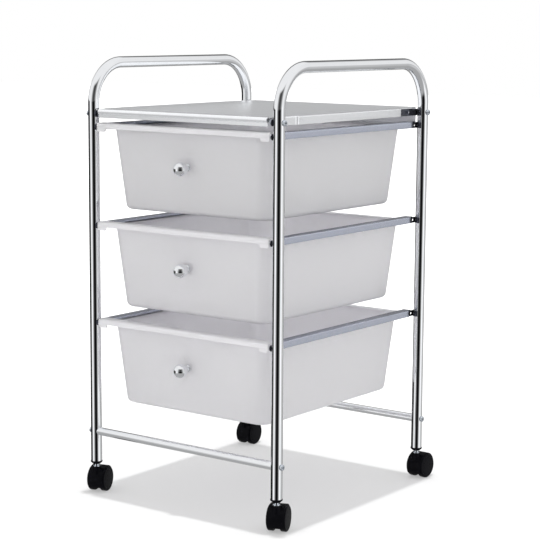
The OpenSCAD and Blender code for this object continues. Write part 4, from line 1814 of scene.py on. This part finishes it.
@dataclass(frozen=True)
class PhotoCamera:
    """Camera at the photograph's point of view."""

    # Place in metres
    place: Triple = (1.53722, -2.03991, 0.71761)
    # Turn about Z, tilt below the horizon and roll, in degrees
    yaw: float = 36.67
    pitch: float = 8.46
    roll: float = 0.39
    # Focal length over the width of the square picture
    focal_share: float = 1690.85 / 540
    sensor: float = 36.0
    # Nearest and farthest distance in metres that is seen
    clip: Pair = (0.05, 60.0)

    def build(self) -> None:
        """Makes the camera and sets how the picture is shown."""
        yaw, pitch, roll = (math.radians(a) for a in (self.yaw, self.pitch, self.roll))
        ahead = Vector((-math.sin(yaw) * math.cos(pitch), math.cos(yaw) * math.cos(pitch), -math.sin(pitch)))
        level_right = Vector((math.cos(yaw), math.sin(yaw), 0))
        level_up = level_right.cross(ahead)
        right = math.cos(roll) * level_right + math.sin(roll) * level_up
        up = math.cos(roll) * level_up - math.sin(roll) * level_right
        lens = bpy.data.cameras.new("photo")
        lens.sensor_width = self.sensor
        lens.lens = self.focal_share * self.sensor
        lens.clip_start, lens.clip_end = self.clip
        camera = add_object("photo", lens)
        turn = Matrix((right, up, -ahead)).transposed().to_4x4()
        camera.matrix_world = Matrix.Translation(self.place) @ turn
        scene = bpy.context.scene
        scene.camera = camera
        scene.view_settings.view_transform = "Standard"


@dataclass(frozen=True)
class StudioSurround:
    """Plain studio round the cart, with soft light for matt things and strips of light for polished ones.

    Azimuths are in degrees from the direction of the camera, positive towards its right.
    """

    toward_camera: float = PhotoCamera.yaw
    ambient: float = 1.0
    ceiling: float = 0.9
    below: float = 0.4
    # Elevations in degrees between which the strips give way to the low ring, to the upper ring, to the
    # ceiling and to the glow below
    low_from: Pair = (0.5, 3.0)
    upper_from: Pair = (11.0, 16.0)
    ceiling_from: Pair = (34.0, 46.0)
    below_from: Pair = (-17.0, -32.0)
    # Azimuth and level of each stop of the strips and of both rings
    strips: tuple[Pair, ...] = (
        (-180, 0.02), (-135, 0.01), (-112, 0.01), (-98, 0.03), (-88, 0.15), (-79, 0.48), (-70, 0.88),
        (-61, 1.12), (-52, 0.98), (-44, 0.68), (-34, 0.3), (-25, 0.1), (-15, 0.01), (0, 0.002), (12, 0.004),
        (20, 0.02), (28, 0.1), (35, 0.3), (42, 0.6), (50, 0.9), (60, 1.08), (72, 1.05), (82, 0.85),
        (92, 0.5), (107, 0.62), (120, 0.42), (140, 0.36), (158, 0.2), (180, 0.02),
    )
    low: tuple[Pair, ...] = (
        (-180, 0.24), (-150, 0.4), (-110, 0.9), (-48, 0.9), (-30, 0.3), (-12, 0.06), (12, 0.06), (32, 0.3),
        (50, 0.9), (110, 0.85), (135, 0.8), (155, 0.4), (180, 0.24),
    )
    upper: tuple[Pair, ...] = (
        (-180, 0.12), (-160, 0.15), (-140, 0.7), (-110, 0.9), (-48, 0.9), (-30, 0.3), (-12, 0.06), (12, 0.06),
        (32, 0.3), (50, 0.9), (90, 0.9), (110, 0.85), (135, 0.85), (150, 0.4), (160, 0.1), (180, 0.12),
    )

    def build(self) -> None:
        """Makes the world."""
        world = bpy.data.worlds.new("Studio surround")
        bpy.context.scene.world = world
        tree = fresh_tree(world)
        direction = add_node(tree, "ShaderNodeTexCoord").outputs["Generated"]
        yaw = math.radians(self.toward_camera)
        shares = [
            add_node(tree, "ShaderNodeVectorMath", {0: direction, 1: way}, operation="DOT_PRODUCT").outputs[1]
            for way in ((math.cos(yaw), math.sin(yaw), 0), (math.sin(yaw), -math.cos(yaw), 0))
        ]
        azimuth = add_node(tree, "ShaderNodeMath", dict(enumerate(shares)), operation="ARCTAN2").outputs[0]
        turn = {"Value": azimuth, "From Min": -math.pi, "From Max": math.pi}
        place = add_node(tree, "ShaderNodeMapRange", turn).outputs[0]
        height = add_node(tree, "ShaderNodeSeparateXYZ", {"Vector": direction}).outputs["Z"]
        seen = self.ring(tree, place, self.strips)
        for level, span in (
            (self.ring(tree, place, self.low), self.low_from),
            (self.ring(tree, place, self.upper), self.upper_from),
            (self.ceiling, self.ceiling_from),
            (self.below, self.below_from),
        ):
            first, last = (math.sin(math.radians(elevation)) for elevation in span)
            rise = {"Value": height, "From Min": first, "From Max": last}
            share = add_node(tree, "ShaderNodeMapRange", rise, interpolation_type="SMOOTHSTEP").outputs[0]
            seen = self.blend(tree, share, seen, level)
        path = add_node(tree, "ShaderNodeLightPath").outputs
        colour = self.blend(tree, path["Is Glossy Ray"], self.ambient, seen)
        rays = {0: path["Is Camera Ray"], 1: path["Is Transmission Ray"]}
        through = add_node(tree, "ShaderNodeMath", rays, operation="MAXIMUM").outputs[0]
        colour = self.blend(tree, through, colour, 1.0)
        background = add_node(tree, "ShaderNodeBackground", {"Color": colour, "Strength": 1.0})
        add_node(tree, "ShaderNodeOutputWorld", {"Surface": background.outputs[0]})

    @staticmethod
    def ring(tree: Tree, place: Socket, strips: Sequence[Pair]) -> Socket:
        """Makes one ring of grey strips round the cart.

        Args:
            tree: The world's nodes.
            place: Share of the full turn, from behind the cart.
            strips: Azimuth and level of each stop.

        Returns:
            The ring's colour.
        """
        ramp = add_node(tree, "ShaderNodeValToRGB", {"Fac": place})
        stops = ramp.color_ramp.elements
        for degrees, level in strips[1:-1]:
            stops.new((degrees + 180) / 360).color = (level, level, level, 1)
        for stop, (_, level) in ((stops[0], strips[0]), (stops[-1], strips[-1])):
            stop.color = (level, level, level, 1)
        return ramp.outputs[0]

    @staticmethod
    def blend(tree: Tree, share: Socket, base: Socket | float, over: Socket | float) -> Socket:
        """Mixes one colour or grey level over another.

        Args:
            tree: The world's nodes.
            share: Share of the one that lies over.
            base: The one below.
            over: The one that lies over.

        Returns:
            The mixed colour.
        """
        under, top = ((c, c, c, 1) if isinstance(c, float) else c for c in (base, over))
        colours = {"Factor": share, 6: under, 7: top}
        return add_node(tree, "ShaderNodeMix", colours, data_type="RGBA").outputs[2]


@dataclass(frozen=True)
class StudioFloor:
    """Pale floor that shows only the soft shadow right below the cart."""

    half: float = 12.0
    # Glow of the floor below the cart and far from it, and the distances in metres between which it grows
    glow: Pair = (0.39, 1.0)
    glow_from: Pair = (0.34, 1.0)
    # How much light the floor scatters to the camera, and to everything else
    albedo: float = 0.38
    plain_albedo: float = 0.8
    # Height and width in metres of the lamp, and the light in watts per square metre that reaches the floor
    lamp_height: float = 11.0
    lamp_width: float = 0.2
    lamp_light: float = 2.5

    def material(self) -> Material:
        """Makes the floor's paint, which glows a little to the camera so that lit floor is white.

        Returns:
            The material.
        """
        material = bpy.data.materials.new("Pale studio floor")
        tree = fresh_tree(material)
        white = (1, 1, 1, 1)
        path = add_node(tree, "ShaderNodeLightPath").outputs
        spot = add_node(tree, "ShaderNodeTexCoord").outputs["Object"]
        distance = add_node(tree, "ShaderNodeVectorMath", {0: spot}, operation="LENGTH").outputs["Value"]
        (near, far), (least, most) = self.glow_from, self.glow
        growth = {"Value": distance, "From Min": near, "From Max": far, "To Min": least, "To Max": most}
        strength = add_node(tree, "ShaderNodeMapRange", growth).outputs[0]
        paint, plain = (
            add_node(tree, "ShaderNodeBsdfDiffuse", {"Color": (albedo, albedo, albedo, 1)})
            for albedo in (self.albedo, self.plain_albedo)
        )
        glow, bright = (
            add_node(tree, "ShaderNodeEmission", {"Color": white, "Strength": level})
            for level in (strength, 1.0)
        )
        seen = add_node(tree, "ShaderNodeAddShader", {0: paint.outputs[0], 1: glow.outputs[0]})
        clear = add_node(tree, "ShaderNodeBsdfTransparent")
        shader = plain
        for ray, other in (("Glossy", clear), ("Transmission", bright), ("Camera", seen)):
            mix = {0: path[f"Is {ray} Ray"], 1: shader.outputs[0], 2: other.outputs[0]}
            shader = add_node(tree, "ShaderNodeMixShader", mix)
        add_node(tree, "ShaderNodeOutputMaterial", {"Surface": shader.outputs[0]})
        return material

    def build(self) -> None:
        """Makes the floor and the lamp that hangs far above it."""
        mesh = bpy.data.meshes.new("floor")
        half = self.half
        corners = [(-half, -half, 0), (half, -half, 0), (half, half, 0), (-half, half, 0)]
        mesh.from_pydata(corners, [], [(0, 1, 2, 3)])
        mesh.materials.append(self.material())
        floor = add_object("floor", mesh)
        light = bpy.data.lights.new("overhead", "AREA")
        light.shape = "DISK"
        light.size = self.lamp_width
        light.energy = self.lamp_light * math.pi * self.lamp_height**2
        lamp = add_object("overhead", light)
        lamp.visible_glossy = False
        lamp.location = (0, 0, self.lamp_height)


def main() -> None:
    """Builds the cart, then the studio."""
    logging.basicConfig(level=logging.INFO, format="%(name)s %(levelname)s %(message)s")
    layout = Layout.from_frame()
    finishes = make_finishes()
    for assembly in (SideTubes, LowerRails, Shelf, RailScrews, Runners, Drawers, Casters):
        LOG.info("building %s", assembly.__name__)
        assembly(layout, finishes).build()
    StudioFloor().build()
    StudioSurround().build()
    PhotoCamera().build()


if __name__ == "__main__":
    main()
